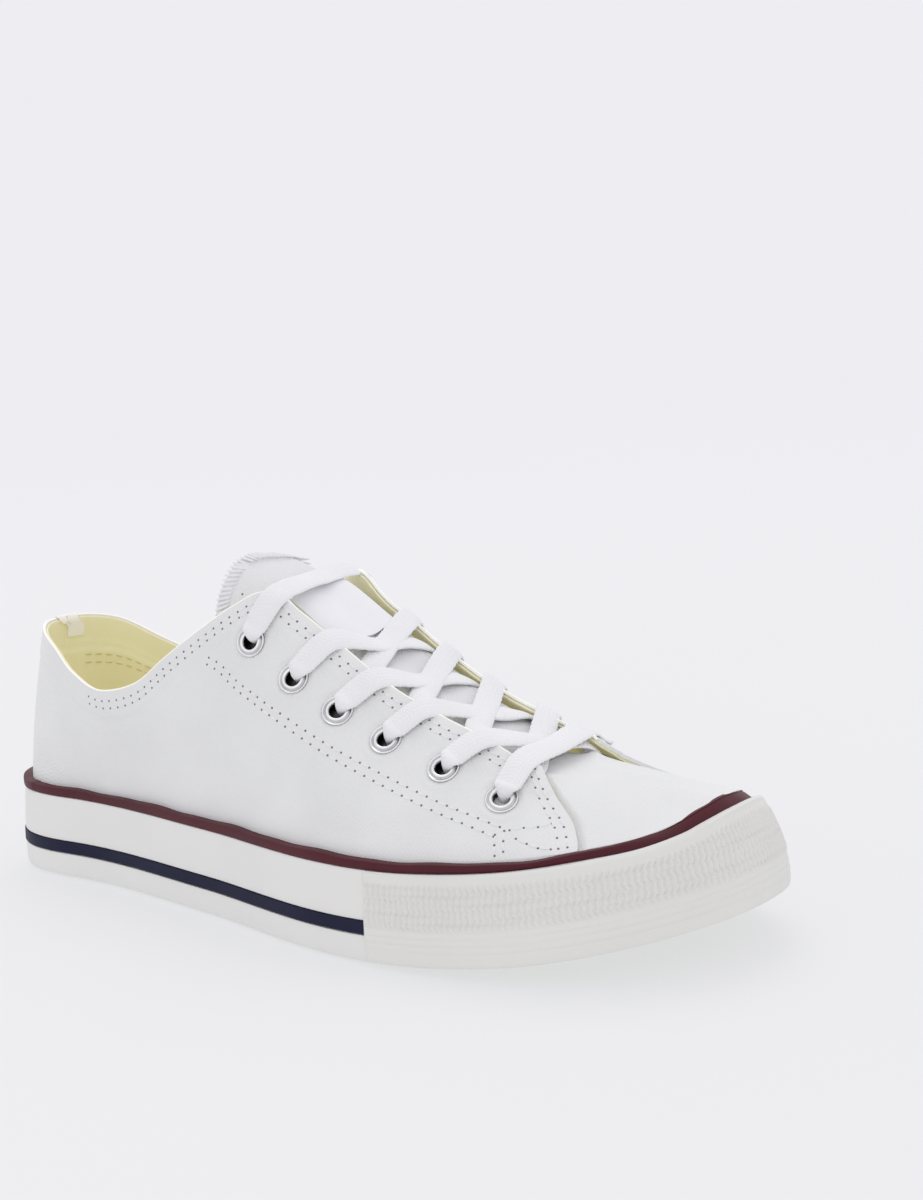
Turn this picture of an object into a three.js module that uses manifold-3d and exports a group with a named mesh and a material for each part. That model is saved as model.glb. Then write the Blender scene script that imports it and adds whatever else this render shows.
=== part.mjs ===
// A low canvas sneaker for the right foot, in millimetres.
// While it is built, x runs from the heel (0) to the toe, +y is the inner (medial) side of the foot and z is
// up from the floor. At the end the whole shoe is moved so that the origin is under the middle of its box.
import * as THREE from "three";
import { mergeVertices } from "three/addons/utils/BufferGeometryUtils.js";
import Module from "manifold-3d";

const wasm = await Module();
wasm.setup();

// ---------------------------------------------------------------- driving dimensions
const SOLE_LENGTH = 280;
const GAP = 0.3; // clearance between neighbouring pieces
const TOE_SPRING = 15; // height of the sole's edge above the floor at the toe
const SPRING_START = 172; // x where the sole leaves the floor
const SPRING_POWER = 1.9;
const ARCH = { from: 76, to: 152, relief: 1.5 };
const OUTSOLE_THICKNESS = 6.5;
const INSOLE_THICKNESS = 4;
const LUG = { width: 3, depth: 1.6, pitch: 8.5, rim: 7, first: 17, last: 262 };
const PAD_DEPTH = 0.4; // the two treads that the shoe stands on are this much deeper than the sole round them
const PADS = [
  { from: 14, to: 70, lateral: -22, medial: 22 },
  { from: 148, to: 192, lateral: -36, medial: 32 },
];
const FOXING_WALL = 2.6;
const FOXING_LIFT = 0.8; // the outsole stands this far below the sidewall
const FOXING_RISES = { foot: 3.1, bend: 17, shoulder: 20 }; // heights at which the sidewall's section bends
const WALL_LEAN = { from: 0.2, power: 1.6 }; // share of the height where the sidewall starts to lean in
const WALL_FOOT = { depth: 1.1, share: 0.1 }; // the rounded foot of the sidewall
const STRIPE_PROUD = { bottom: 0.2, top: 0.1 };
const LOWER_STRIPE = { bottom: 8.8, height: 4.1, depth: 0.8, proud: 0.15 };
const BUMPER = { start: 184, thickness: 1.0, bottom: 1.2, rises: [6, 13.2, 20], shoulder: 0.8, chamfer: 0.5 };
const UPPER_WALL = 1.8; // canvas and lining together
const SKIRT_GAP = 0.4; // clearance of the canvas's hidden lower part from the sidewall
const EYELET = {
  flange: 4.6,
  barrel: 2.9,
  bore: 2.1,
  rim: 0.9,
  lift: 0.55,
  bevel: 0.5,
  below: 0.4,
  sides: 10,
};
const LACE = { width: 7.6, thickness: 1.3 };
const LACE_LIFT = LACE.thickness / 2 + 0.45; // lace centre above whatever it lies on
const LACE_RISE = 1.5; // extra height of a lace over the canvas beside its eyelet
const LACE_FACING = new THREE.Vector3(0.4, 0, 0.9); // where a lace's face looks over the tongue
const CROSSING = { over: 1.6, under: 0.6, far: 0.3, pastEyelet: 2, inwards: 1 };
const LACE_SLANT = 5; // how far a lace drifts towards the toe between its eyelet and the throat
const TONGUE_THICKNESS = 2.4;

const HEEL_CAP = { reach: 40, power: 2.2 };
const TOE_CAP = { reach: 58, power: 2.4 };
const COLUMN_TURN = 12; // how strongly the canvas leaves the opening square to the sole's outline
const SIDE_STEPS = 32; // columns from heel to toe on each side
const PROFILE_STEPS = 9; // steps up the visible upper

// Half widths of the sole to each side of a centre line that swings inwards at the toe.
const OUTLINE = [
  { x: 0, centre: 0, lateral: 35, medial: 35 },
  { x: 45, centre: 0, lateral: 30.5, medial: 32 },
  { x: 110, centre: -1, lateral: 37, medial: 30 },
  { x: 170, centre: -0.5, lateral: 48, medial: 43 },
  { x: 225, centre: 4, lateral: 49, medial: 48.5 },
  { x: 262, centre: 8, lateral: 42, medial: 44 },
  { x: 280, centre: 10, lateral: 37, medial: 40 },
];

// The sidewall's top: how far it leans in, its height above the sole's edge, how far the stripe is set back
// behind its face, the stripe's height and how far the bumper's rim stands above the sidewall.
const WALL_TOP = [
  { x: 0, lean: 1.6, top: 27.8, setback: 0, stripe: 2.8, rim: 0 },
  { x: 60, lean: 1.0, top: 27.8, setback: 0, stripe: 2.8, rim: 0 },
  { x: 190, lean: 1.3, top: 27.5, setback: 0, stripe: 2.7, rim: 0 },
  { x: 225, lean: 2.4, top: 27.1, setback: 0.2, stripe: 2.2, rim: 0 },
  { x: 250, lean: 4.2, top: 26.8, setback: 0.8, stripe: 1.9, rim: 0 },
  { x: 265, lean: 5.8, top: 26.8, setback: 1.8, stripe: 1.9, rim: 0.4 },
  { x: 280, lean: 7.5, top: 27, setback: 3, stripe: 2.2, rim: 1.8 },
];

// The edge of the opening: heel, collar, top corner of the eyestay, throat and the throat's front end.
// along is the share of the way round the sole from heel to toe at which the column below it stands.
const EDGE = [
  { along: 0, x: 12.5, lateralY: 0, lateralZ: 82.5, medialY: 0, medialZ: 82.5 },
  { along: 0.04, x: 14.5, lateralY: -9, lateralZ: 82.5, medialY: 9, medialZ: 82 },
  { along: 0.09, x: 22, lateralY: -17.5, lateralZ: 81, medialY: 18, medialZ: 79.5 },
  { along: 0.142, x: 34, lateralY: -24, lateralZ: 77, medialY: 25, medialZ: 72.5 },
  { along: 0.2, x: 48, lateralY: -29, lateralZ: 70.5, medialY: 30, medialZ: 66.5 },
  { along: 0.26, x: 65, lateralY: -31.8, lateralZ: 66.4, medialY: 31.5, medialZ: 65.5 },
  { along: 0.302, x: 80, lateralY: -31.6, lateralZ: 70, medialY: 31, medialZ: 69.5 },
  { along: 0.345, x: 94, lateralY: -30.5, lateralZ: 79.4, medialY: 30, medialZ: 78 },
  { along: 0.385, x: 108, lateralY: -28.2, lateralZ: 88.6, medialY: 28.5, medialZ: 88 },
  { along: 0.42, x: 121, lateralY: -25.4, lateralZ: 96.4, medialY: 26, medialZ: 96.5 },
  { along: 0.443, x: 129, lateralY: -22.8, lateralZ: 100, medialY: 23.5, medialZ: 100 },
  { along: 0.459, x: 134, lateralY: -20.4, lateralZ: 99.2, medialY: 21.5, medialZ: 99 },
  { along: 0.485, x: 141, lateralY: -19.3, lateralZ: 94.4, medialY: 20.7, medialZ: 93 },
  { along: 0.535, x: 156, lateralY: -18, lateralZ: 84.2, medialY: 19.4, medialZ: 84 },
  { along: 0.585, x: 172, lateralY: -17.1, lateralZ: 73.8, medialY: 18.2, medialZ: 74.5 },
  { along: 0.645, x: 190, lateralY: -16.6, lateralZ: 66, medialY: 17, medialZ: 66 },
  { along: 0.705, x: 207, lateralY: -16.3, lateralZ: 60, medialY: 16, medialZ: 60.2 },
  { along: 0.742, x: 217, lateralY: -16, lateralZ: 55.6, medialY: 15.8, medialZ: 56.2 },
  { along: 0.775, x: 222.6, lateralY: -14.4, lateralZ: 52.8, medialY: 14.4, medialZ: 53.6 },
  { along: 0.84, x: 226, lateralY: -9.6, lateralZ: 51.2, medialY: 9.8, medialZ: 51.6 },
  { along: 0.92, x: 227, lateralY: -4.4, lateralZ: 50.6, medialY: 5, medialZ: 50.8 },
  { along: 1, x: 227.3, lateralY: 0.4, lateralZ: 50.5, medialY: 0.4, medialZ: 50.5 },
];

// How the canvas leaves the sole and meets the opening. footLean: degrees inwards from upright at the sole.
// edgeFall: degrees below level, outwards, at the opening. The pulls are shares of the straight distance.
const SWEEP = [
  { along: 0, footLean: 6, footPull: 0.35, edgeFall: 74, edgePull: 0.3 },
  { along: 0.142, footLean: 3, footPull: 0.35, edgeFall: 80, edgePull: 0.3 },
  { along: 0.26, footLean: 0, footPull: 0.35, edgeFall: 84, edgePull: 0.3 },
  { along: 0.345, footLean: 0, footPull: 0.35, edgeFall: 80, edgePull: 0.3 },
  { along: 0.42, footLean: 2, footPull: 0.36, edgeFall: 68, edgePull: 0.3 },
  { along: 0.485, footLean: 3, footPull: 0.38, edgeFall: 50, edgePull: 0.36 },
  { along: 0.585, footLean: 8, footPull: 0.36, edgeFall: 42, edgePull: 0.36 },
  { along: 0.705, footLean: 28, footPull: 0.3, edgeFall: 36, edgePull: 0.34 },
  { along: 0.775, footLean: 44, footPull: 0.25, edgeFall: 32, edgePull: 0.32 },
  { along: 0.86, footLean: 62, footPull: 0.22, edgeFall: 16, edgePull: 0.3 },
  { along: 1, footLean: 74, footPull: 0.2, edgeFall: 8, edgePull: 0.3 },
];

// Eyelets down the eyestay: the column, and how far below the opening's edge.
const EYELETS = [
  { along: 0.446, below: 15.2 },
  { along: 0.504, below: 18 },
  { along: 0.554, below: 16.8 },
  { along: 0.606, below: 15 },
  { along: 0.672, below: 14.4 },
  { along: 0.738, below: 14.4 },
];

// The tongue's crown line from the throat up to its free end, with its half width, the drop of its edges
// (square to the crown line) and its sideways tilt (rise per millimetre towards the outer side).
const TONGUE = [
  { x: 231, z: 46.4, half: 14, drop: 2.5, tilt: 0 },
  { x: 218, z: 50.4, half: 17, drop: 4.5, tilt: 0 },
  { x: 204, z: 57, half: 20, drop: 6.5, tilt: 0 },
  { x: 188, z: 63.8, half: 22, drop: 9.5, tilt: 0 },
  { x: 170, z: 72.6, half: 22.5, drop: 11, tilt: 0 },
  { x: 150, z: 84.8, half: 23, drop: 12.5, tilt: 0 },
  { x: 134, z: 95.6, half: 23, drop: 15, tilt: 0 },
  { x: 121, z: 103.2, half: 22.5, drop: 18, tilt: 0.05 },
  { x: 114, z: 107.4, half: 21.5, drop: 19, tilt: 0.12 },
  { x: 112, z: 108.4, half: 20, drop: 17, tilt: 0.15 },
];
const TONGUE_ARCH = 3.6; // how squarely the tongue is bent over the instep

// ---------------------------------------------------------------- small maths
// A smooth function through one column of a table, with slopes from the neighbouring rows.
function smooth(rows, from, column) {
  const last = rows.length - 1;
  const slope = (i) => (rows[i + 1][column] - rows[i][column]) / (rows[i + 1][from] - rows[i][from]);
  const tangent = (i) => {
    if (i === 0) return slope(0);
    if (i === last) return slope(last - 1);
    const before = rows[i][from] - rows[i - 1][from];
    const after = rows[i + 1][from] - rows[i][from];
    return (slope(i - 1) * after + slope(i) * before) / (before + after);
  };
  const up = rows[last][from] > rows[0][from];
  return (value) => {
    let i = 0;
    while (i < last - 1 && (up ? value > rows[i + 1][from] : value < rows[i + 1][from])) i += 1;
    const width = rows[i + 1][from] - rows[i][from];
    const s = THREE.MathUtils.clamp((value - rows[i][from]) / width, 0, 1);
    const a = rows[i][column];
    const b = rows[i + 1][column];
    return (
      a * (1 + 2 * s) * (1 - s) ** 2 +
      b * s * s * (3 - 2 * s) +
      width * s * (1 - s) * (tangent(i) * (1 - s) - tangent(i + 1) * s)
    );
  };
}

const clamp01 = (value) => THREE.MathUtils.clamp(value, 0, 1);

// The share between 0 and 1 at which a rising function passes a value.
function shareAt(rising, value) {
  let low = 0;
  let high = 1;
  for (let i = 0; i < 30; i += 1) {
    const mid = (low + high) / 2;
    if (rising(mid) < value) low = mid;
    else high = mid;
  }
  return (low + high) / 2;
}

function capFactor(distance, cap) {
  const inside = 1 - clamp01(distance / cap.reach);
  return (1 - inside ** cap.power) ** (1 / cap.power);
}

// ---------------------------------------------------------------- the sole's own functions
const centreAt = smooth(OUTLINE, "x", "centre");
const halfAt = { lateral: smooth(OUTLINE, "x", "lateral"), medial: smooth(OUTLINE, "x", "medial") };
const leanAt = smooth(WALL_TOP, "x", "lean");
const setbackAt = smooth(WALL_TOP, "x", "setback");
const stripeAt = smooth(WALL_TOP, "x", "stripe");
const wallTopAt = smooth(WALL_TOP, "x", "top");
const rimAt = smooth(WALL_TOP, "x", "rim");
const SIDES = { lateral: -1, medial: 1 };

function outlineY(side, x) {
  const cap = capFactor(x, HEEL_CAP) * capFactor(SOLE_LENGTH - x, TOE_CAP);
  return centreAt(x) + SIDES[side] * halfAt[side](x) * cap;
}

// Height of the sole's lower edge: flat to the ball, then rising to the toe.
function soleLine(x) {
  const share = clamp01((x - SPRING_START) / (SOLE_LENGTH - SPRING_START));
  return TOE_SPRING * share ** SPRING_POWER;
}

function archLine(x) {
  const share = clamp01((x - ARCH.from) / (ARCH.to - ARCH.from));
  return ARCH.relief * Math.sin(Math.PI * share) ** 2;
}

// One side of the outline as a function from the share of the way round (heel 0, toe 1) to a station with its
// normal.
function sideTrack(side) {
  const fine = 800;
  const points = [];
  for (let i = 0; i <= fine; i += 1) {
    const x = (SOLE_LENGTH * (1 - Math.cos((Math.PI * i) / fine))) / 2;
    points.push(new THREE.Vector2(x, outlineY(side, x)));
  }
  const lengths = [0];
  for (let i = 1; i <= fine; i += 1) lengths.push(lengths[i - 1] + points[i].distanceTo(points[i - 1]));
  return (along) => {
    const target = lengths[fine] * clamp01(along);
    let k = 0;
    while (k < fine - 1 && lengths[k + 1] < target) k += 1;
    const share = (target - lengths[k]) / (lengths[k + 1] - lengths[k]);
    const point = points[k].clone().lerp(points[k + 1], share);
    const forward = points[Math.min(k + 2, fine)].clone().sub(points[Math.max(k - 1, 0)]).normalize();
    const normal = new THREE.Vector2(forward.y, -forward.x).multiplyScalar(-SIDES[side]);
    if (along <= 0) normal.set(-1, 0);
    if (along >= 1) normal.set(1, 0);
    return { side, along, x: point.x, y: point.y, normal };
  };
}

const tracks = { lateral: sideTrack("lateral"), medial: sideTrack("medial") };

function sideStations(side, steps) {
  const stations = [];
  for (let j = 0; j <= steps; j += 1) stations.push(tracks[side](j / steps));
  return stations;
}

// The share of the way round at which one side passes a given x.
const alongAt = (side, x) => shareAt((along) => tracks[side](along).x, x);

// The closed loop of stations: heel, lateral side, toe, medial side.
function loopStations() {
  const lateral = sideStations("lateral", SIDE_STEPS);
  const medial = sideStations("medial", SIDE_STEPS);
  return [...lateral, ...medial.slice(1, -1).reverse()];
}

// The loop's stations ahead of a given x, from the lateral side round the toe to the medial side.
function toeStations(x) {
  const ahead = loopStations().filter((station) => station.x > x + 1);
  return [tracks.lateral(alongAt("lateral", x)), ...ahead, tracks.medial(alongAt("medial", x))];
}

// The loop's stations behind a given x, from the medial side round the heel to the lateral side.
function heelStations(x) {
  const behind = loopStations().filter((station) => station.x < x - 1);
  const firstMedial = behind.findIndex((station) => station.side === "medial");
  const ordered = [...behind.slice(firstMedial), ...behind.slice(0, firstMedial)];
  return [tracks.medial(alongAt("medial", x)), ...ordered, tracks.lateral(alongAt("lateral", x))];
}

// How far inside the outline the sidewall's face is, at a share of its height.
function wallInset(station, share) {
  const risen = clamp01((share - WALL_LEAN.from) / (1 - WALL_LEAN.from));
  const lean = leanAt(station.x) * risen ** WALL_LEAN.power;
  const foot = WALL_FOOT.depth * clamp01(1 - share / WALL_FOOT.share) ** 2;
  return lean + foot;
}

function onStation(station, inset, z) {
  return new THREE.Vector3(station.x - station.normal.x * inset, station.y - station.normal.y * inset, z);
}

// A point on the sidewall: rise is the height above the sole line, inwards the depth behind the face.
function onWall(station, rise, inwards) {
  const share = rise / wallTopAt(station.x);
  const lowest = inwards > 0 ? WALL_FOOT.share : 0;
  const inset = wallInset(station, Math.max(share, lowest)) + inwards;
  return onStation(station, inset, soleLine(station.x) + rise);
}

// A point behind the sidewall's face that also follows the stripe's setback near the top.
function behindWall(station, rise, inwards) {
  const share = clamp01(rise / wallTopAt(station.x));
  return onWall(station, rise, inwards + setbackAt(station.x) * share);
}

// Height of the stripe's top edge, where the canvas comes out of the sole.
const stripeTop = (station) => wallTopAt(station.x) + GAP + stripeAt(station.x);

// ---------------------------------------------------------------- solids from rings and grids
// A closed mesh from points and triangles, turned so that its faces point out.
function closedGeometry(points, triangles) {
  let volume = 0;
  for (const [a, b, c] of triangles) {
    volume += points[a].dot(new THREE.Vector3().crossVectors(points[b], points[c]));
  }
  const index = triangles.flatMap(([a, b, c]) => (volume < 0 ? [a, c, b] : [a, b, c]));
  const geometry = new THREE.BufferGeometry().setFromPoints(points);
  geometry.setIndex(index);
  return geometry;
}

// Profiles (equal closed loops of points) joined in order: round into a ring, or with flat ends.
function loft(profiles, closed) {
  const size = profiles[0].length;
  const count = profiles.length;
  const points = profiles.flat();
  const triangles = [];
  const spans = closed ? count : count - 1;
  for (let i = 0; i < spans; i += 1) {
    for (let j = 0; j < size; j += 1) {
      const a = i * size + j;
      const b = i * size + ((j + 1) % size);
      const c = ((i + 1) % count) * size + j;
      const d = ((i + 1) % count) * size + ((j + 1) % size);
      triangles.push([a, b, d], [a, d, c]);
    }
  }
  if (!closed) {
    for (let j = 1; j < size - 1; j += 1) {
      triangles.push([0, j + 1, j]);
      triangles.push([(count - 1) * size, (count - 1) * size + j, (count - 1) * size + j + 1]);
    }
  }
  return closedGeometry(points, triangles);
}

function toManifold(geometry) {
  const bare = new THREE.BufferGeometry();
  bare.setAttribute("position", geometry.getAttribute("position"));
  bare.setIndex(geometry.index);
  const merged = mergeVertices(bare, 1e-3);
  return new wasm.Manifold(
    new wasm.Mesh({
      numProp: 3,
      vertProperties: merged.getAttribute("position").array,
      triVerts: new Uint32Array(merged.index.array),
    }),
  );
}

function fromManifold(solid) {
  const mesh = solid.getMesh();
  const geometry = new THREE.BufferGeometry();
  geometry.setAttribute("position", new THREE.BufferAttribute(mesh.vertProperties, 3));
  geometry.setIndex(new THREE.BufferAttribute(mesh.triVerts, 1));
  return geometry;
}

// ---------------------------------------------------------------- the upper's own surface
const edgeAt = {
  x: smooth(EDGE, "along", "x"),
  lateralY: smooth(EDGE, "along", "lateralY"),
  lateralZ: smooth(EDGE, "along", "lateralZ"),
  medialY: smooth(EDGE, "along", "medialY"),
  medialZ: smooth(EDGE, "along", "medialZ"),
};
const sweepAt = {
  footLean: smooth(SWEEP, "along", "footLean"),
  footPull: smooth(SWEEP, "along", "footPull"),
  edgeFall: smooth(SWEEP, "along", "edgeFall"),
  edgePull: smooth(SWEEP, "along", "edgePull"),
};

function edgePoint(station) {
  const { side, along } = station;
  return new THREE.Vector3(edgeAt.x(along), edgeAt[`${side}Y`](along), edgeAt[`${side}Z`](along));
}

// The column of canvas over one station, as a cubic curve from the sidewall's top to the opening.
function columnCurve(station) {
  const foot = behindWall(station, stripeTop(station), FOXING_WALL + GAP);
  const edge = edgePoint(station);
  const chord = foot.distanceTo(edge);
  const out = new THREE.Vector3(station.normal.x, station.normal.y, 0);
  const across = new THREE.Vector3(foot.x - edge.x, foot.y - edge.y, 0);
  const level = across.addScaledVector(out, COLUMN_TURN).normalize();
  const lean = THREE.MathUtils.degToRad(sweepAt.footLean(station.along));
  const fall = THREE.MathUtils.degToRad(sweepAt.edgeFall(station.along));
  const rise = out.clone().multiplyScalar(-Math.sin(lean)).setZ(Math.cos(lean));
  const drop = level.clone().multiplyScalar(Math.cos(fall)).setZ(-Math.sin(fall));
  return new THREE.CubicBezierCurve3(
    foot,
    foot.clone().addScaledVector(rise, chord * sweepAt.footPull(station.along)),
    edge.clone().addScaledVector(drop, chord * sweepAt.edgePull(station.along)),
    edge,
  );
}

// A point and outward normal on the canvas, a distance down its column from the opening's edge.
function onUpper(side, along, below) {
  const step = 0.01;
  const curve = columnCurve(tracks[side](along));
  const up = curve.getUtoTmapping(1 - below / curve.getLength());
  const point = curve.getPoint(up);
  const ahead = columnCurve(tracks[side](along + step)).getPoint(up);
  const behind = columnCurve(tracks[side](along - step)).getPoint(up);
  const normal = new THREE.Vector3()
    .crossVectors(curve.getTangent(up), ahead.sub(behind))
    .multiplyScalar(SIDES[side])
    .normalize();
  return { point, normal };
}

// ---------------------------------------------------------------- sole pieces
// A plate between two heights, made of straight strips across the shoe; rim gives its edge at a station.
function solePlate(rim, lowZ, highZ) {
  const lateral = sideStations("lateral", SIDE_STEPS);
  const medial = sideStations("medial", SIDE_STEPS);
  const sections = lateral.map((station, i) => {
    const a = rim(station);
    const b = rim(medial[i]);
    return [
      a.clone().setZ(lowZ(a.x)),
      b.clone().setZ(lowZ(b.x)),
      b.clone().setZ(highZ(b.x)),
      a.clone().setZ(highZ(a.x)),
    ];
  });
  return loft(sections, false);
}

// A flat tread that stands on the floor.
function treadPad({ from, to, lateral, medial }) {
  const height = OUTSOLE_THICKNESS / 2;
  const pad = new THREE.BoxGeometry(to - from, medial - lateral, height);
  pad.translate((from + to) / 2, (lateral + medial) / 2, height / 2);
  return toManifold(pad);
}

// One straight groove across the tread, its floor parallel to the sole line.
function lugGroove(x) {
  const reach = LUG.rim + FOXING_WALL;
  const low = outlineY("lateral", x) + reach;
  const high = outlineY("medial", x) - reach;
  const deep = 2 * LUG.depth;
  const groove = new THREE.BoxGeometry(LUG.width, high - low, deep);
  groove.translate(x, (low + high) / 2, soleLine(x) + archLine(x));
  return toManifold(groove);
}

function outsoleGeometry() {
  const rim = (station) => onStation(station, FOXING_WALL + GAP, 0);
  const low = (x) => soleLine(x) + archLine(x) + PAD_DEPTH;
  const high = (x) => soleLine(x) + OUTSOLE_THICKNESS;
  let solid = toManifold(solePlate(rim, low, high));
  for (const pad of PADS) solid = solid.add(treadPad(pad));
  for (let x = LUG.first; x < LUG.last; x += LUG.pitch) {
    const inArch = x > ARCH.from && x < ARCH.to;
    if (!inArch) solid = solid.subtract(lugGroove(x));
  }
  return fromManifold(solid);
}

function insoleGeometry() {
  const bottom = OUTSOLE_THICKNESS + GAP;
  const top = bottom + INSOLE_THICKNESS;
  const depth = FOXING_WALL + UPPER_WALL + 3 * GAP;
  const rim = (station) => behindWall(station, top, depth);
  return solePlate(
    rim,
    (x) => soleLine(x) + bottom,
    (x) => soleLine(x) + top,
  );
}

function foxingGeometry() {
  const grooveTop = LOWER_STRIPE.bottom + LOWER_STRIPE.height;
  const profiles = loopStations().map((station) => [
    onWall(station, FOXING_LIFT, 0),
    onWall(station, FOXING_RISES.foot, 0),
    onWall(station, LOWER_STRIPE.bottom - GAP, 0),
    onWall(station, LOWER_STRIPE.bottom - GAP, LOWER_STRIPE.depth + GAP),
    onWall(station, grooveTop + GAP, LOWER_STRIPE.depth + GAP),
    onWall(station, grooveTop + GAP, 0),
    onWall(station, FOXING_RISES.shoulder, 0),
    onWall(station, wallTopAt(station.x), 0),
    behindWall(station, wallTopAt(station.x), FOXING_WALL),
    behindWall(station, FOXING_RISES.bend, FOXING_WALL),
    onWall(station, OUTSOLE_THICKNESS + GAP, FOXING_WALL),
    onWall(station, FOXING_LIFT, FOXING_WALL),
  ]);
  return loft(profiles, true);
}

function upperStripeGeometry() {
  const profiles = loopStations().map((station) => [
    behindWall(station, wallTopAt(station.x) + GAP, -STRIPE_PROUD.bottom),
    behindWall(station, stripeTop(station), -STRIPE_PROUD.top),
    behindWall(station, stripeTop(station), FOXING_WALL),
    behindWall(station, wallTopAt(station.x) + GAP, FOXING_WALL),
  ]);
  return loft(profiles, true);
}

function lowerStripeGeometry() {
  const { bottom, height, depth, proud } = LOWER_STRIPE;
  const profiles = heelStations(BUMPER.start - GAP).map((station) => [
    onWall(station, bottom, -proud),
    onWall(station, bottom + height, -proud),
    onWall(station, bottom + height, depth),
    onWall(station, bottom, depth),
  ]);
  return loft(profiles, false);
}

function bumperGeometry() {
  const outer = -(GAP + BUMPER.thickness);
  const profiles = toeStations(BUMPER.start).map((station) => {
    const top = wallTopAt(station.x) + rimAt(station.x);
    const rises = [BUMPER.bottom, ...BUMPER.rises];
    return [
      ...rises.map((rise) => onWall(station, rise, outer)),
      onWall(station, top - BUMPER.shoulder, outer),
      onWall(station, top, outer + BUMPER.chamfer),
      onWall(station, top, -GAP),
      ...rises.reverse().map((rise) => onWall(station, rise, -GAP)),
    ];
  });
  return loft(profiles, false);
}

// ---------------------------------------------------------------- the upper
// Outer points of one column, from the bottom of the hidden skirt up to the opening.
function upperColumn(station) {
  const rises = [OUTSOLE_THICKNESS + GAP, FOXING_RISES.bend, wallTopAt(station.x)];
  const skirt = rises.map((rise) => behindWall(station, rise, FOXING_WALL + SKIRT_GAP));
  const curve = columnCurve(station);
  const visible = [];
  for (let i = 0; i <= PROFILE_STEPS; i += 1) visible.push(curve.getPoint(i / PROFILE_STEPS));
  return [...skirt, ...visible];
}

// Outward normals of the grid of columns, from its neighbouring points.
function gridNormal(columns, i, j) {
  const count = columns.length;
  const size = columns[0].length;
  const ahead = columns[(i + 1) % count][j];
  const behind = columns[(i + count - 1) % count][j];
  const above = columns[i][Math.min(j + 1, size - 1)];
  const below = columns[i][Math.max(j - 1, 0)];
  const round = ahead.clone().sub(behind);
  const upwards = above.clone().sub(below);
  return round.cross(upwards).normalize();
}

function upperShell() {
  const columns = loopStations().map(upperColumn);
  const profiles = columns.map((column, i) => {
    const inner = column.map((point, j) =>
      point.clone().addScaledVector(gridNormal(columns, i, j), -UPPER_WALL),
    );
    return [...column, ...inner.reverse()];
  });
  return loft(profiles, true);
}

// Turns a shape standing on z = 0 so that it stands on a point of the canvas, along its normal.
function standOn(geometry, place, lift) {
  const turn = new THREE.Quaternion().setFromUnitVectors(new THREE.Vector3(0, 0, 1), place.normal);
  geometry.applyQuaternion(turn);
  const at = place.point.clone().addScaledVector(place.normal, lift);
  geometry.translate(at.x, at.y, at.z);
  return geometry;
}

function eyeletHole(place) {
  const length = 4 * UPPER_WALL;
  const hole = new THREE.CylinderGeometry(EYELET.barrel + GAP, EYELET.barrel + GAP, length, EYELET.sides);
  hole.rotateX(Math.PI / 2);
  return toManifold(standOn(hole, place, 0));
}

function upperGeometry(places) {
  let solid = toManifold(upperShell());
  for (const place of places) solid = solid.subtract(eyeletHole(place));
  return fromManifold(solid);
}

// ---------------------------------------------------------------- eyelets, tongue and laces
function eyeletPlaces() {
  return Object.keys(SIDES).flatMap((side) =>
    EYELETS.map((row, i) => ({
      name: `eyelet_${side}_${i + 1}`,
      side,
      ...onUpper(side, row.along, row.below),
    })),
  );
}

function eyeletGeometry(place) {
  const { flange, barrel, bore, rim, lift } = EYELET;
  const bottom = -(UPPER_WALL + lift + EYELET.below);
  const profile = [
    new THREE.Vector2(bore, bottom),
    new THREE.Vector2(barrel, bottom),
    new THREE.Vector2(barrel, 0),
    new THREE.Vector2(flange, 0),
    new THREE.Vector2(flange - EYELET.bevel, rim),
    new THREE.Vector2(bore, rim),
    new THREE.Vector2(bore, bottom),
  ];
  const ring = new THREE.LatheGeometry(profile, EYELET.sides);
  ring.rotateX(Math.PI / 2);
  return standOn(ring, place, lift);
}

const tongueAt = {
  z: smooth(TONGUE, "x", "z"),
  half: smooth(TONGUE, "x", "half"),
  drop: smooth(TONGUE, "x", "drop"),
  tilt: smooth(TONGUE, "x", "tilt"),
};

// A point on the tongue's top: x along its crown line, then sideways by y.
function tonguePoint(x, y) {
  const slope = tongueAt.z(x + 0.5) - tongueAt.z(x - 0.5);
  const square = new THREE.Vector3(-slope, 0, 1).normalize();
  const drop = tongueAt.drop(x) * Math.abs(y / tongueAt.half(x)) ** TONGUE_ARCH;
  const crown = new THREE.Vector3(x, y, tongueAt.z(x) - tongueAt.tilt(x) * y);
  return crown.addScaledVector(square, -drop);
}

function tongueGeometry() {
  const across = 8;
  const lengthSteps = 14;
  const first = TONGUE[0].x;
  const last = TONGUE[TONGUE.length - 1].x;
  const sections = [];
  for (let i = 0; i <= lengthSteps; i += 1) {
    const x = first + ((last - first) * i) / lengthSteps;
    const top = [];
    const under = [];
    for (let j = 0; j <= across; j += 1) {
      const y = tongueAt.half(x) * Math.sin((j / across - 0.5) * Math.PI);
      const point = tonguePoint(x, y);
      const along = tonguePoint(x + 0.5, y).sub(tonguePoint(x - 0.5, y));
      const sideways = tonguePoint(x, y + 0.3).sub(tonguePoint(x, y - 0.3));
      const normal = along.cross(sideways).normalize();
      top.push(point);
      under.push(point.clone().addScaledVector(normal, -TONGUE_THICKNESS));
    }
    sections.push([...top, ...under.reverse()]);
  }
  return loft(sections, false);
}

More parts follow.
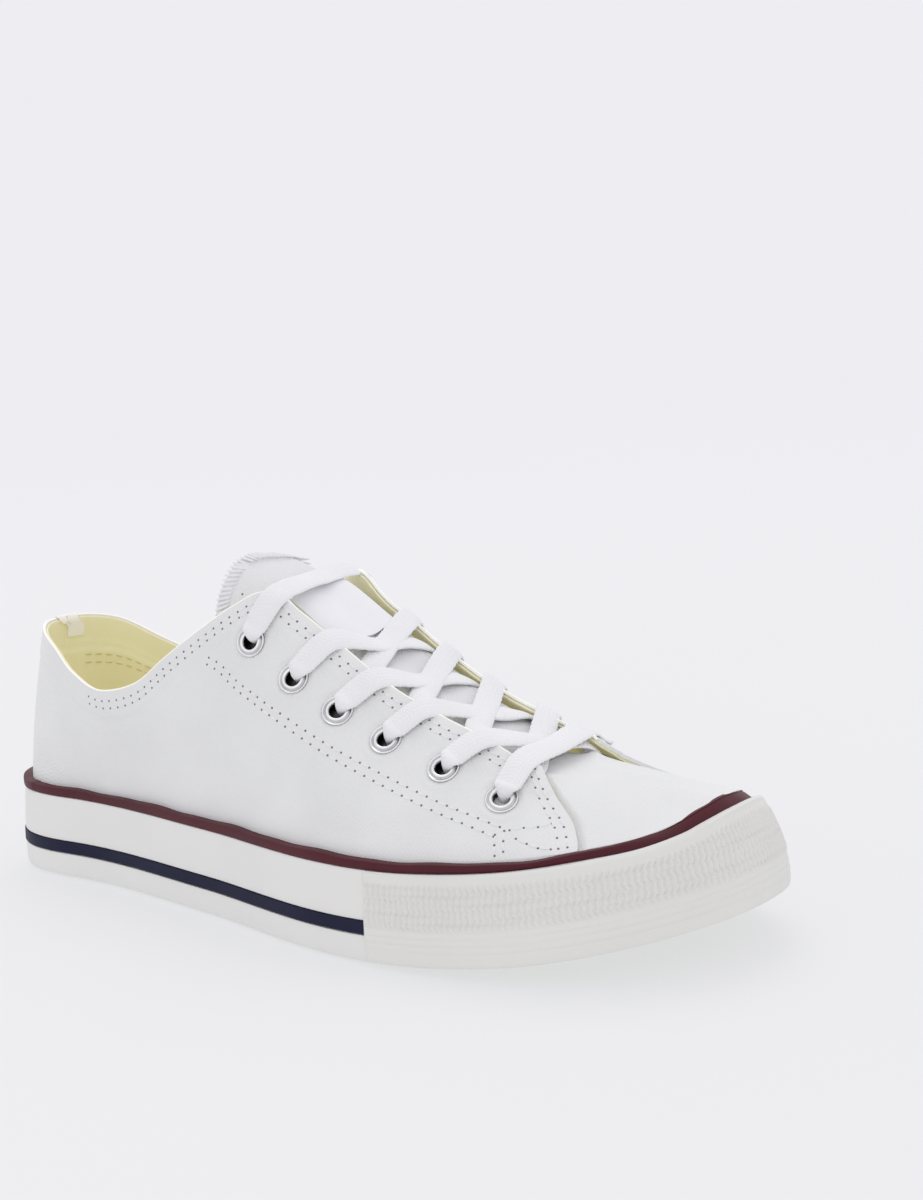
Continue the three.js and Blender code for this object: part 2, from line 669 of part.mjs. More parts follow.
// A flat lace through a few places, each a point with the direction the lace's face looks there.
function ribbonGeometry(through, steps) {
  const line = new THREE.CatmullRomCurve3(through.map((place) => place.point), false, "centripetal");
  const facing = new THREE.CatmullRomCurve3(through.map((place) => place.normal), false, "centripetal");
  const sections = [];
  for (let i = 0; i <= steps; i += 1) {
    const at = line.getPoint(i / steps);
    const tangent = line.getTangent(i / steps);
    const wide = new THREE.Vector3().crossVectors(tangent, facing.getPoint(i / steps)).normalize();
    const thick = new THREE.Vector3().crossVectors(wide, tangent).normalize();
    const corner = (a, b) =>
      at
        .clone()
        .addScaledVector(wide, (a * LACE.width) / 2)
        .addScaledVector(thick, (b * LACE.thickness) / 2);
    sections.push([corner(-1, -1), corner(1, -1), corner(1, 1), corner(-1, 1)]);
  }
  return loft(sections, false);
}

const lifted = ({ point, normal }, lift) => ({ point: point.clone().addScaledVector(normal, lift), normal });

// The share along the opening's edge at which it passes a given x.
const edgeAlong = (x) => shareAt(edgeAt.x, x);

// The start of a lace: over its eyelet, then up the canvas to the opening's edge, slanting towards the toe.
function fromEyelet(place, slant) {
  const { along, below } = EYELETS[place.index];
  const edge = edgeAlong(place.point.x + slant);
  return [
    lifted(place, EYELET.lift + EYELET.rim + LACE_LIFT),
    lifted(onUpper(place.side, (along + edge) / 2, below / 2), LACE_LIFT + LACE_RISE),
    lifted(onUpper(place.side, edge, 1), LACE_LIFT + LACE_RISE),
  ];
}

// A place on the straight line between two points of a lace, kept clear of the tongue below it.
function overTongue(a, b, share, lift) {
  const point = a.clone().lerp(b, share);
  point.z = Math.max(point.z, tonguePoint(point.x, point.y).z + lift);
  return { point, normal: LACE_FACING };
}

function laceBar(lateral, medial) {
  const slant = lateral.index === 0 ? LACE_SLANT : 0;
  const left = fromEyelet(lateral, slant);
  const right = fromEyelet(medial, slant).reverse();
  const middle = overTongue(left[2].point, right[0].point, 0.5, 2 * LACE_LIFT);
  return ribbonGeometry([...left, middle, ...right], 16);
}

// One lace from the top of an eyelet across the throat to just beneath the other edge, one eyelet lower.
function laceCrossing(place, lift) {
  const other = place.side === "lateral" ? "medial" : "lateral";
  const start = fromEyelet(place, LACE_SLANT);
  const next = placeOf(other, place.index + 1);
  const edge = onUpper(other, edgeAlong(next.point.x + CROSSING.pastEyelet), 0);
  const end = lifted(edge, -(UPPER_WALL + LACE_LIFT));
  end.point.y -= SIDES[other] * CROSSING.inwards;
  const middle = overTongue(start[2].point, end.point, 0.5, LACE_LIFT + lift);
  const far = overTongue(middle.point, end.point, 0.55, LACE_LIFT + CROSSING.far);
  return ribbonGeometry([...start, middle, far, end], 13);
}

// ---------------------------------------------------------------- materials and assembly
function finish(color, roughness, metalness = 0) {
  return new THREE.MeshStandardMaterial({ color, roughness, metalness });
}

const materials = {
  canvas: finish("#efeff0", 0.95),
  lining: finish("#d9cd94", 0.95),
  rubber: finish("#ece9df", 0.55),
  bumper: finish("#e8e4d4", 0.6),
  maroon: finish("#53232d", 0.5),
  navy: finish("#23293f", 0.5),
  lace: finish("#f4f4f5", 0.9),
  metal: finish("#c9cacc", 0.25, 1),
};

const shoe = new THREE.Group();

function addPiece(name, geometry, material) {
  const mesh = new THREE.Mesh(geometry, material);
  mesh.name = name;
  shoe.add(mesh);
}

const places = eyeletPlaces().map((place, i) => ({ ...place, index: i % EYELETS.length }));
const placeOf = (side, index) => places.find((place) => place.side === side && place.index === index);

addPiece("outsole", outsoleGeometry(), materials.rubber);
addPiece("insole", insoleGeometry(), materials.lining);
addPiece("foxing", foxingGeometry(), materials.rubber);
addPiece("upper_stripe", upperStripeGeometry(), materials.maroon);
addPiece("lower_stripe", lowerStripeGeometry(), materials.navy);
addPiece("toe_bumper", bumperGeometry(), materials.bumper);
addPiece("upper", upperGeometry(places), materials.canvas);
addPiece("tongue", tongueGeometry(), materials.canvas);
for (const place of places) addPiece(place.name, eyeletGeometry(place), materials.metal);
const lastEyelet = EYELETS.length - 1;
for (const index of [0, lastEyelet]) {
  const bar = laceBar(placeOf("lateral", index), placeOf("medial", index));
  addPiece(`lace_bar_${index + 1}`, bar, materials.lace);
}
for (let index = 1; index < lastEyelet; index += 1) {
  const over = toManifold(laceCrossing(placeOf("medial", index), CROSSING.over));
  const under = toManifold(laceCrossing(placeOf("lateral", index), CROSSING.under));
  addPiece(`lace_cross_${index + 1}`, fromManifold(over.add(under)), materials.lace);
}

// The origin goes under the middle of the shoe's box, on the floor.
const box = new THREE.Box3().setFromObject(shoe);
const middle = box.getCenter(new THREE.Vector3());
shoe.position.set(-middle.x, -middle.y, -box.min.z);

export default shoe;
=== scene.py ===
"""The looks of a white canvas sneaker for the right foot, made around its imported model.

Lengths are millimetres in the shoe's own frame until a mesh is built: x runs from the heel (0) to the toe
(280), +y is the inner (medial) side of the foot and z is up from the floor. "along" is the share of the way
round one side of the sole, from the heel (0) to the toe (1), and "up" is the share of the way up a column of
canvas.
"""
import math

import bmesh
import bpy
import numpy as np
from mathutils import Matrix, Vector


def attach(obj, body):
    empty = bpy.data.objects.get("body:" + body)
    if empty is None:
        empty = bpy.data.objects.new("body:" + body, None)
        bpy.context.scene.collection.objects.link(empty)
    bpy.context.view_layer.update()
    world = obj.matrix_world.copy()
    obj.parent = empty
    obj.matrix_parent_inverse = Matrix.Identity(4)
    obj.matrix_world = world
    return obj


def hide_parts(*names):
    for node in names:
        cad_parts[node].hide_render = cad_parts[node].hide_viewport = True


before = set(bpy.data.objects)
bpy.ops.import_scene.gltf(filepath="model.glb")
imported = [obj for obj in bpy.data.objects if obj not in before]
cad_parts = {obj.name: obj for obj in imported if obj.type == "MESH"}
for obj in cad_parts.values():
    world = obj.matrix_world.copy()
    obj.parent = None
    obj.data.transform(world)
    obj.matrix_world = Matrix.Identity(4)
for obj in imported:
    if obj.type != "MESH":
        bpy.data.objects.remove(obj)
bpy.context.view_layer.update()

# ---------------------------------------------------------------- driving dimensions
ORIGIN = np.array([140.5996, 1.8249, 0.0])  # the frame's origin, in the shoe's own frame
METRES = 0.001
SIGN = {"lateral": -1, "medial": 1}

SOLE_LENGTH = 280
HEEL_CAP, TOE_CAP = (40, 2.2), (58, 2.4)  # reach and power of the outline's rounded ends
GAP = 0.3  # clearance between neighbouring pieces
TOE_SPRING = 15  # height of the sole's edge above the floor at the toe
SPRING_START = 172  # x where the sole leaves the floor
SPRING_POWER = 1.9
LEAN_FROM, LEAN_POWER = 0.2, 1.6  # share of its height from which the sidewall leans in
FOOT_DEPTH, FOOT_SHARE = 1.1, 0.1  # the rounded foot of the sidewall
COLUMN_TURN = 12  # how strongly the canvas leaves the opening square to the sole's outline
ARCH_FROM, ARCH_TO, ARCH_RELIEF = 76, 152, 1.5
OUTSOLE_THICKNESS = 6.5
INSOLE_THICKNESS = 4
GROOVE_FIRST, GROOVE_PITCH, GROOVE_WIDTH, GROOVE_DEPTH, GROOVE_RIM = 17, 8.5, 3, 1.6, 7
PAD_DEPTH = 0.4  # how far the tread's two pads stand below the rest of it
PADS = (  # x and y of each pad's middle, and its half length and half width
    (42, 0, 28.5, 22.5),
    (170, -2, 22.5, 34.5),
)
FOXING_WALL = 2.6
FOXING_LIFT = 0.8  # the tread stands this far below the sidewall
STRIPE_BOTTOM, STRIPE_HEIGHT, STRIPE_PROUD = 8.8, 4.1, 0.25
BUMPER_START, BUMPER_THICKNESS, BUMPER_BOTTOM = 184, 1.0, 1.2
RIB_PITCH, BUMPER_LINES = 1.9, (5.2, 7.4, 9.4)  # the bumper's upright ribs, and the heights of its lines
CANVAS_THICKNESS = 1.1
LINING_DEPTH = 1.9
LACE_WIDTH, LACE_THICKNESS = 7.8, 1.25
CROSSING_SLANT = 6.5  # how far forward of its eyelet a lace crosses the throat's edge
TOP_SLANT = {"lateral": 4.5, "medial": -0.5}
TOP_RISE = 1.6  # the top bar bows up off the tongue
LACE_LIFT = LACE_THICKNESS / 2 + 0.45
GATHERED_WIDTH = 3.4  # a lace inside an eyelet
BRAID_PITCH = 1.25  # of the lace's slanted ribs
TONGUE_THICKNESS = 2.4
TONGUE_ARCH = 3.6
TONGUE_TOP, TONGUE_ROOT = 112, 231  # x of the tongue's free end and of its sewn end
CORNER_LONG, CORNER_WIDE = 15, 15  # the free end's rounded corners
LABEL_FRONT, LABEL_BACK, LABEL_HALF = 152, 128.5, 12.5
LABEL_LIFT = 0.7
OVERLOCK_START = 152  # x where the overlocked edge of the tongue starts, towards its free end
EYELET_BARREL, EYELET_BORE = 2.9, 2.45  # radii
TAPE_END_ASIDE = 5.5  # the heel tape's inner end is sewn down off the middle
SKIRT = 4.0  # how far the canvas runs on below the stripe, behind the sidewall
VAMP_BACK = 0.3  # share of the sole's length that the toe piece covers on each side
VAMP_TAIL_X = 217.5  # where the toe piece's rear edge lies on the tongue
CAMERA_ANGLES = (37.6, 9.1, -3.5)  # azimuth, elevation and roll, in degrees
CAMERA_PLACE = (0.3875, -0.4436, 0.1864)  # in metres
CAMERA_LENS, CAMERA_SENSOR = 75.08, 36
FLOOR_RADIUS = 30  # in metres

OUTLINE = (
    ("x", "centre", "lateral", "medial"),
    (0, 0, 35, 35),
    (45, 0, 30.5, 32),
    (110, -1, 37, 30),
    (170, -0.5, 48, 43),
    (225, 4, 49, 48.5),
    (262, 8, 42, 44),
    (280, 10, 37, 40),
)
WALL_TOP = (
    ("x", "lean", "top", "setback", "stripe", "rim"),
    (0, 1.6, 27.8, 0, 2.8, 0),
    (60, 1.0, 27.8, 0, 2.8, 0),
    (190, 1.3, 27.5, 0, 2.7, 0),
    (225, 2.4, 27.1, 0.2, 2.2, 0),
    (250, 4.2, 26.2, 0.8, 1.8, 0),
    (265, 5.6, 25.2, 1.5, 1.9, 0.2),
    (273, 6.4, 25.6, 1.9, 2.1, 0.6),
    (280, 7.2, 26.7, 2.1, 2.4, 1.5),
)
EDGE = (
    ("along", "x", "lateral_y", "lateral_z", "medial_y", "medial_z"),
    (0, 12.5, 0, 82.5, 0, 82.5),
    (0.04, 14.5, -9, 82.5, 9, 82),
    (0.09, 22, -17.5, 81, 18, 79.5),
    (0.142, 34, -24, 77, 25, 72.5),
    (0.2, 48, -29, 70.5, 30, 66.5),
    (0.26, 65, -31.8, 66.4, 31.5, 65.5),
    (0.302, 80, -31.6, 70, 31, 69.5),
    (0.345, 94, -30.5, 79.4, 30, 78),
    (0.385, 108, -28.2, 88.6, 28.5, 88),
    (0.42, 121, -25.4, 96.4, 26, 96.5),
    (0.443, 129, -22.8, 100, 23.5, 100),
    (0.459, 134, -20.4, 99.2, 21.5, 99),
    (0.485, 141, -19.3, 94.4, 20.7, 93),
    (0.535, 156, -18, 84.2, 19.4, 84),
    (0.585, 172, -17.1, 73.8, 18.2, 74.5),
    (0.645, 190, -16.6, 66, 17, 66),
    (0.705, 207, -16.3, 60, 16, 60.2),
    (0.742, 217, -16, 55.6, 15.8, 56.2),
    (0.775, 222.6, -14.4, 52.8, 14.4, 53.6),
    (0.84, 226, -9.6, 51.2, 9.8, 51.6),
    (0.92, 227, -4.4, 50.6, 5, 50.8),
    (1, 227.3, 0.4, 50.5, 0.4, 50.5),
)
SWEEP = (
    ("along", "foot_lean", "foot_pull", "edge_fall", "edge_pull"),
    (0, 6, 0.35, 74, 0.3),
    (0.142, 3, 0.35, 80, 0.3),
    (0.26, 0, 0.35, 84, 0.3),
    (0.345, 0, 0.35, 80, 0.3),
    (0.42, 2, 0.36, 68, 0.3),
    (0.485, 3, 0.38, 50, 0.36),
    (0.585, 8, 0.36, 42, 0.36),
    (0.705, 28, 0.3, 36, 0.34),
    (0.775, 44, 0.25, 32, 0.32),
    (0.86, 62, 0.22, 16, 0.3),
    (1, 74, 0.2, 8, 0.3),
)
EYELETS = (  # along, and millimetres below the opening's edge
    (0.446, 15.2),
    (0.504, 18),
    (0.554, 16.8),
    (0.606, 15),
    (0.672, 14.4),
    (0.738, 14.4),
)
TONGUE = (
    ("x", "z", "half", "drop", "tilt", "inner_lift"),
    (112, 108.4, 26, 25, 0.15, 0),
    (114, 107.4, 26.3, 24.5, 0.12, 0),
    (121, 103.2, 26.4, 21.5, 0.05, 0.8),
    (134, 95.6, 25, 16, 0, 3),
    (150, 84.8, 23, 12.5, 0, 4.2),
    (170, 72.6, 22.5, 11, 0, 3.6),
    (188, 63.8, 22, 9.5, 0, 2.8),
    (204, 57, 20, 6.5, 0, 1.8),
    (218, 50.4, 17, 4.5, 0, 0.4),
    (231, 46.4, 14, 2.5, 0, 0),
)

# The front edge of the quarters over the toe piece: "along" at each share of the canvas's height.
QUARTER_FRONT = (
    ("up", "lateral", "medial"),
    (0, 0.8225, 0.806),
    (0.2, 0.8235, 0.807),
    (0.4, 0.8235, 0.807),
    (0.55, 0.818, 0.803),
    (0.75, 0.805, 0.793),
    (1, 0.779, 0.774),
)
FRONT_LIFT = {"lateral": 1.5, "medial": 1.8}  # the quarters' upper front corner above the toe piece

# Stitched rows across the quarters, as points (x, z) of the shoe seen from the side.
FACING_ROW = (
    (112, 79.4),
    (117.2, 77.7),
    (122, 74.9),
    (129, 71.7),
    (143.5, 65.9),
    (156.2, 60.5),
    (169.1, 55.3),
    (183.1, 50.6),
    (197.6, 46.2),
    (212.3, 42.4),
    (221.5, 40),
)
FRONT_DROP_ROW = ((222.4, 39.8), (223.7, 36.9), (224.6, 35.2))
FRONT_TOE_ROWS = (
    ((224.7, 40.4), (227.6, 40.9), (230.4, 40.9), (234.2, 41.7)),
    ((227.4, 38.6), (230.7, 37.6), (234.2, 36.7), (237.6, 36.5)),
)

# Main soft folds of the canvas: the line of each in side view, its half width and its height (troughs
# negative).
FOLDS = (
    ("side", "x0", "z0", "x1", "z1", "half", "height"),
    ("lateral", 168, 36, 205, 44, 6, -0.55),
    ("lateral", 176, 42, 214, 47, 5, 0.4),
    ("lateral", 60, 40, 92, 60, 10, -0.7),
    ("lateral", 24, 38, 34, 70, 8, -0.5),
    ("lateral", 112, 40, 134, 64, 9, 0.5),
    ("lateral", 140, 36, 156, 56, 8, -0.5),
    ("medial", 170, 36, 208, 44, 6, -0.6),
    ("medial", 180, 43, 216, 47, 5, 0.45),
    ("medial", 66, 42, 96, 64, 10, -0.7),
    ("medial", 26, 40, 36, 68, 8, -0.5),
    ("medial", 118, 40, 140, 66, 9, 0.5),
    ("medial", 146, 38, 160, 56, 8, -0.45),
)


# ---------------------------------------------------------------- small maths
def clamp01(value):
    return np.clip(value, 0, 1)


def ease(value):
    """0 to 1 with level ends."""
    share = clamp01(value)
    return share * share * (3 - 2 * share)


def mix(a, b, share):
    return a + (b - a) * share


def unit(vectors):
    return vectors / np.maximum(np.linalg.norm(vectors, axis=-1, keepdims=True), 1e-9)


def full_turn(steps):
    """Evenly spaced angles of one turn."""
    return np.linspace(0, 2 * np.pi, steps, endpoint=False)


def both_sides(steps):
    """Signed shares: the outer side's front (-1), round the heel (0), to the inner side's front (1)."""
    return np.concatenate([np.linspace(-1, 0, steps)[:-1], np.linspace(0, 1, steps)])


def run_length(points):
    """How far each point of a line is from its start, along the line."""
    return np.concatenate([[0], np.cumsum(np.linalg.norm(np.diff(points, axis=0), axis=-1))])


def smooth(at, value):
    """A smooth function through points, with slopes from the neighbouring ones."""
    at = np.asarray(at, float)
    value = np.asarray(value, float)
    width = np.diff(at)
    slope = np.diff(value) / width
    tangent = np.empty(len(at))
    tangent[0] = slope[0]
    tangent[-1] = slope[-1]
    tangent[1:-1] = (slope[:-1] * width[1:] + slope[1:] * width[:-1]) / (width[:-1] + width[1:])

    def function(x):
        i = np.clip(np.searchsorted(at, x, side="right") - 1, 0, len(at) - 2)
        s = clamp01((x - at[i]) / width[i])
        bend = width[i] * s * (1 - s) * (tangent[i] * (1 - s) - tangent[i + 1] * s)
        return value[i] * (1 + 2 * s) * (1 - s) ** 2 + value[i + 1] * s * s * (3 - 2 * s) + bend

    return function


def curves(table):
    """Smooth functions of a table's first column, one for each other column."""
    names, rows = table[0], np.array(table[1:], float)
    return {name: smooth(rows[:, 0], rows[:, k]) for k, name in enumerate(names) if k}


outline_at = curves(OUTLINE)
wall_at = curves(WALL_TOP)
edge_at = curves(EDGE)
sweep_at = curves(SWEEP)
tongue_at = curves(TONGUE)
front_at = curves(QUARTER_FRONT)


# ---------------------------------------------------------------- the sole's own functions
def cap(distance, reach, power):
    """The rounding of one end of the outline: 0 at its tip, 1 beyond its reach."""
    inside = 1 - clamp01(distance / reach)
    return (1 - inside**power) ** (1 / power)


def outline_y(side, x):
    """The sole's outline on one side."""
    shape = cap(x, *HEEL_CAP) * cap(SOLE_LENGTH - x, *TOE_CAP)
    return outline_at["centre"](x) + SIGN[side] * outline_at[side](x) * shape


def sole_line(x):
    """Height of the sole's edge above the floor."""
    share = clamp01((x - SPRING_START) / (SOLE_LENGTH - SPRING_START))
    return TOE_SPRING * share**SPRING_POWER


def arch_line(x):
    """How far the tread is hollowed under the arch."""
    share = clamp01((x - ARCH_FROM) / (ARCH_TO - ARCH_FROM))
    return ARCH_RELIEF * np.sin(np.pi * share) ** 2


def side_track(side):
    """x, y and share of the length along one side of the outline, finely sampled."""
    x = SOLE_LENGTH * (1 - np.cos(np.linspace(0, np.pi, 4001))) / 2
    y = outline_y(side, x)
    length = run_length(np.stack([x, y], -1))
    return x, y, length / length[-1]


tracks = {side: side_track(side) for side in SIGN}


def side_length(side):
    xs, ys, _ = tracks[side]
    return np.hypot(np.diff(xs), np.diff(ys)).sum()


def station(side, along):
    """x, y, outward normal x and y of the outline at each "along"."""
    xs, ys, share = tracks[side]
    along = np.asarray(along, float)
    low, high = clamp01(along - 0.002), clamp01(along + 0.002)
    forward_x = np.interp(high, share, xs) - np.interp(low, share, xs)
    forward_y = np.interp(high, share, ys) - np.interp(low, share, ys)
    length = np.hypot(forward_x, forward_y)
    out_x = -SIGN[side] * forward_y / length
    out_y = SIGN[side] * forward_x / length
    end = (along <= 0) | (along >= 1)
    out_x = np.where(end, np.where(along <= 0, -1.0, 1.0), out_x)
    out_y = np.where(end, 0.0, out_y)
    return np.interp(along, share, xs), np.interp(along, share, ys), out_x, out_y


def on_wall(place, rise, inwards):
    """A point at a height above the sole line and a depth behind the sidewall's face."""
    x, y, out_x, out_y = place
    share = rise / wall_at["top"](x)
    lean = wall_at["lean"](x) * clamp01((share - LEAN_FROM) / (1 - LEAN_FROM)) ** LEAN_POWER
    foot = np.where(inwards > 0, 0, FOOT_DEPTH * clamp01(1 - share / FOOT_SHARE) ** 2)
    inset = lean + foot + inwards
    return np.stack([x - out_x * inset, y - out_y * inset, sole_line(x) + rise], -1)


def behind_wall(place, rise, inwards):
    """The same, following the stripe's setback near the top."""
    share = clamp01(rise / wall_at["top"](place[0]))
    return on_wall(place, rise, inwards + wall_at["setback"](place[0]) * share)


def stripe_top(place):
    return wall_at["top"](place[0]) + GAP + wall_at["stripe"](place[0])


# ---------------------------------------------------------------- the canvas's own surface
def edge_point(side, along):
    """A point on the edge of the collar and throat."""
    return np.stack([edge_at["x"](along), edge_at[side + "_y"](along), edge_at[side + "_z"](along)], -1)


def canvas_point(side, along, up):
    """A point on the canvas, from its foot behind the stripe (up 0) to the opening's edge (up 1)."""
    along, up = np.broadcast_arrays(np.asarray(along, float), np.asarray(up, float))
    place = station(side, along)
    foot = behind_wall(place, stripe_top(place), FOXING_WALL + GAP)
    edge = edge_point(side, along)
    chord = np.linalg.norm(foot - edge, axis=-1)[..., None]
    out = np.stack([place[2], place[3], np.zeros_like(place[2])], -1)
    across = (foot - edge) * [1, 1, 0] + COLUMN_TURN * out
    level = unit(across)
    lean = np.radians(sweep_at["foot_lean"](along))[..., None]
    fall = np.radians(sweep_at["edge_fall"](along))[..., None]
    rise = -out * np.sin(lean) + np.array([0, 0, 1]) * np.cos(lean)
    drop = level * np.cos(fall) - np.array([0, 0, 1]) * np.sin(fall)
    second = foot + rise * chord * sweep_at["foot_pull"](along)[..., None]
    third = edge + drop * chord * sweep_at["edge_pull"](along)[..., None]
    t = up[..., None]
    return (1 - t) ** 3 * foot + 3 * t * (1 - t) ** 2 * second + 3 * t * t * (1 - t) * third + t**3 * edge


def canvas_frame(side, along, up):
    """A point, its outward normal and the direction up the canvas."""
    along, up = np.broadcast_arrays(np.asarray(along, float), np.asarray(up, float))
    point = canvas_point(side, along, up)
    higher, lower = np.minimum(up + 0.01, 1), np.maximum(up - 0.01, 0)
    upwards = canvas_point(side, along, higher) - canvas_point(side, along, lower)
    further, nearer = np.minimum(along + 0.004, 1), np.maximum(along - 0.004, 0)
    ahead = canvas_point(side, further, up) - canvas_point(side, nearer, up)
    normal = unit(np.cross(upwards, ahead)) * SIGN[side]
    return point, normal, unit(upwards)


def up_below_edge(side, along, below):
    """The share of the height at a distance below the opening's edge."""
    along, below = np.broadcast_arrays(np.atleast_1d(np.asarray(along, float)), np.asarray(below, float))
    steps = np.linspace(1, 0, 81)
    points = canvas_point(side, along[:, None], steps[None, :])
    lengths = np.linalg.norm(np.diff(points, axis=1), axis=-1).cumsum(axis=1)
    lengths = np.concatenate([np.zeros((len(along), 1)), lengths], axis=1)
    return np.array([np.interp(b, row, steps) for b, row in zip(below, lengths)])


def locate(side, targets):
    """along and up of the canvas's points with the given (x, z) in side view."""
    targets = np.asarray(targets, float)
    along_grid = np.linspace(0.02, 0.9, 177)
    up_grid = np.linspace(0, 1, 41)
    grid = canvas_point(side, along_grid[:, None], up_grid[None, :])[..., [0, 2]]
    found = []
    for target in targets:
        nearest = np.argmin(((grid - target) ** 2).sum(-1))
        found.append((along_grid[nearest // 41], up_grid[nearest % 41]))
    along, up = np.array(found).T
    for _ in range(6):
        here = canvas_point(side, along, up)[..., [0, 2]]
        by_along = (canvas_point(side, along + 0.001, up)[..., [0, 2]] - here) / 0.001
        by_up = (canvas_point(side, along, up - 0.001)[..., [0, 2]] - here) / -0.001
        miss = targets - here
        size = by_along[:, 0] * by_up[:, 1] - by_along[:, 1] * by_up[:, 0]
        along = along + np.clip((miss[:, 0] * by_up[:, 1] - miss[:, 1] * by_up[:, 0]) / size, -0.02, 0.02)
        rise = (by_along[:, 0] * miss[:, 1] - by_along[:, 1] * miss[:, 0]) / size
        up = clamp01(up + np.clip(rise, -0.1, 0.1))
    return along, up


def eyelet_places():
    """Centre, outward normal and direction to the throat of each eyelet."""
    places = {}
    for side in SIGN:
        for index, (along, below) in enumerate(EYELETS):
            up = up_below_edge(side, along, below)
            point, normal, upwards = canvas_frame(side, np.array([along]), up)
            places[side, index] = {
                "side": side,
                "index": index,
                "point": point[0],
                "normal": normal[0],
                "upwards": upwards[0],
            }
    return places


eyelets = eyelet_places()


# ---------------------------------------------------------------- soft relief of the quarters
def fold_height(side, point):
    """The main soft troughs and ridges of the canvas."""
    height = np.zeros(point.shape[:-1])
    for fold_side, x0, z0, x1, z1, half, tall in FOLDS[1:]:
        if fold_side != side:
            continue
        start, run = np.array([x0, z0]), np.array([x1 - x0, z1 - z0])
        away = point[..., [0, 2]] - start
        share = clamp01((away @ run) / (run @ run))
        distance = np.linalg.norm(away - share[..., None] * run, axis=-1)
        height += tall * np.exp(-((distance / half) ** 2))
    return height


def pucker_height(side, point):
    """A soft ring pressed up round each eyelet."""
    height = np.zeros(point.shape[:-1])
    for place in eyelets.values():
        if place["side"] == side:
            distance = np.linalg.norm(point - place["point"], axis=-1)
            ring = 0.42 * np.exp(-(((distance - 6.3) / 1.1) ** 2))
            height += ring - 0.3 * np.exp(-((distance / 4.4) ** 4))
    return height


def seam_height(side, along, up, point):
    """The stitched facing and hems lie slightly fuller than the single canvas."""
    below = np.linalg.norm(point - edge_point(side, along), axis=-1)
    hem = 0.28 * ease((9.5 - below) / 1.6)
    lift = FRONT_LIFT[side] * ease((up - 0.35) / 0.65) * ease(1 - front_distance(side, along, up) / 14)
    return hem + lift


def front_distance(side, along, up):
    """Millimetres from a point of the canvas forward to the quarters' front edge."""
    further, nearer = np.minimum(along + 0.01, 1), np.maximum(along - 0.01, 0)
    step = np.linalg.norm(canvas_point(side, further, up) - canvas_point(side, nearer, up), axis=-1)
    return (front_at[side](up) - along) * step / 0.02


def quarter_frame(side, along, up):
    """A point of the quarters' cloth with all its relief."""
    point, normal, upwards = canvas_frame(side, along, up)
    relief = fold_height(side, point) * ease(up / 0.12) + pucker_height(side, point)
    relief = relief + seam_height(side, along, up, point)
    return point + normal * relief[..., None], normal, upwards


def heel_layer_top(along):
    """How far up the lining the heel's second layer reaches."""
    return 0.76 - 1.1 * clamp01(along - 0.08) ** 1.3


def lining_frame(side, along, up):
    """The same surface, pushed inwards where the heel has a second layer of lining."""
    point, normal, upwards = quarter_frame(side, along, up)
    layer = 0.6 * ease((heel_layer_top(along) - up) / 0.02) * ease((0.3 - along) / 0.03)
    return point - normal * layer[..., None], normal, upwards


# ---------------------------------------------------------------- meshes
def add_object(name, data):
    """An object of the scene that shows a mesh, a light or a camera."""
    made = bpy.data.objects.new(name, data)
    bpy.context.scene.collection.objects.link(made)
    return made


def build_mesh(name, points, faces, corner_uvs, materials, slots=None, sharp=50):
    """An object in metres from points in millimetres and quads, turned right side out."""
    points = (np.asarray(points, float).reshape(-1, 3) - ORIGIN) * METRES
    faces = np.asarray(faces)
    corner_uvs = np.asarray(corner_uvs, float)
    triangle = points[faces[:, :3]]
    other = points[faces[:, [0, 2, 3]]]
    volume = sum((np.cross(t[:, 1], t[:, 2]) * t[:, 0]).sum() for t in (triangle, other))
    if volume < 0:
        faces = faces[:, ::-1]
        corner_uvs = corner_uvs[:, ::-1]
    mesh = bpy.data.meshes.new(name)
    mesh.from_pydata(points.tolist(), [], faces.tolist())
    layer = mesh.uv_layers.new(name="cloth")
    layer.uv.foreach_set("vector", np.ascontiguousarray(corner_uvs).ravel())
    for material in materials:
        mesh.materials.append(material)
    if slots is not None:
        mesh.polygons.foreach_set("material_index", np.asarray(slots, dtype=np.int32))
    mesh.shade_smooth()
    mesh.set_sharp_from_angle(angle=math.radians(sharp))
    mesh.update()
    return add_object(name, mesh)


def path_uvs(profiles):
    """Millimetres along the path and round the profile, with one more row and column for wrapped faces."""
    count = len(profiles)
    ahead = np.linalg.norm(np.roll(profiles, -1, axis=0) - profiles, axis=-1).mean(axis=1)
    round_it = np.linalg.norm(np.roll(profiles, -1, axis=1) - profiles, axis=-1)[count // 2]
    u = np.concatenate([[0], np.cumsum(ahead)])
    v = np.concatenate([[0], np.cumsum(round_it)])
    return np.stack(np.broadcast_arrays(u[:, None], v[None, :]), -1)


def side_faces(count, size, closed=False):
    """Quads between neighbouring profiles, with their rows and columns."""
    i = np.arange(count if closed else count - 1)[:, None]
    j = np.arange(size)[None, :]
    ahead, beside = (i + 1) % count, (j + 1) % size
    quads = (i * size + j, i * size + beside, ahead * size + beside, ahead * size + j)
    return np.stack(np.broadcast_arrays(*quads), -1).reshape(-1, 4), i, j


def grid_corners(uvs, i, j):
    """Cloth coordinates at the corners of a grid's quads."""
    return np.stack([uvs[i, j], uvs[i, j + 1], uvs[i + 1, j + 1], uvs[i + 1, j]], -2).reshape(-1, 4, 2)


def end_faces(count, size):
    """Flat ends: quads across the first and the last profile."""
    j = np.arange(size // 2 - 1)
    first = np.stack([j, size - 1 - j, size - 2 - j, j + 1], -1)
    return np.concatenate([first, (count - 1) * size + first[:, ::-1]])


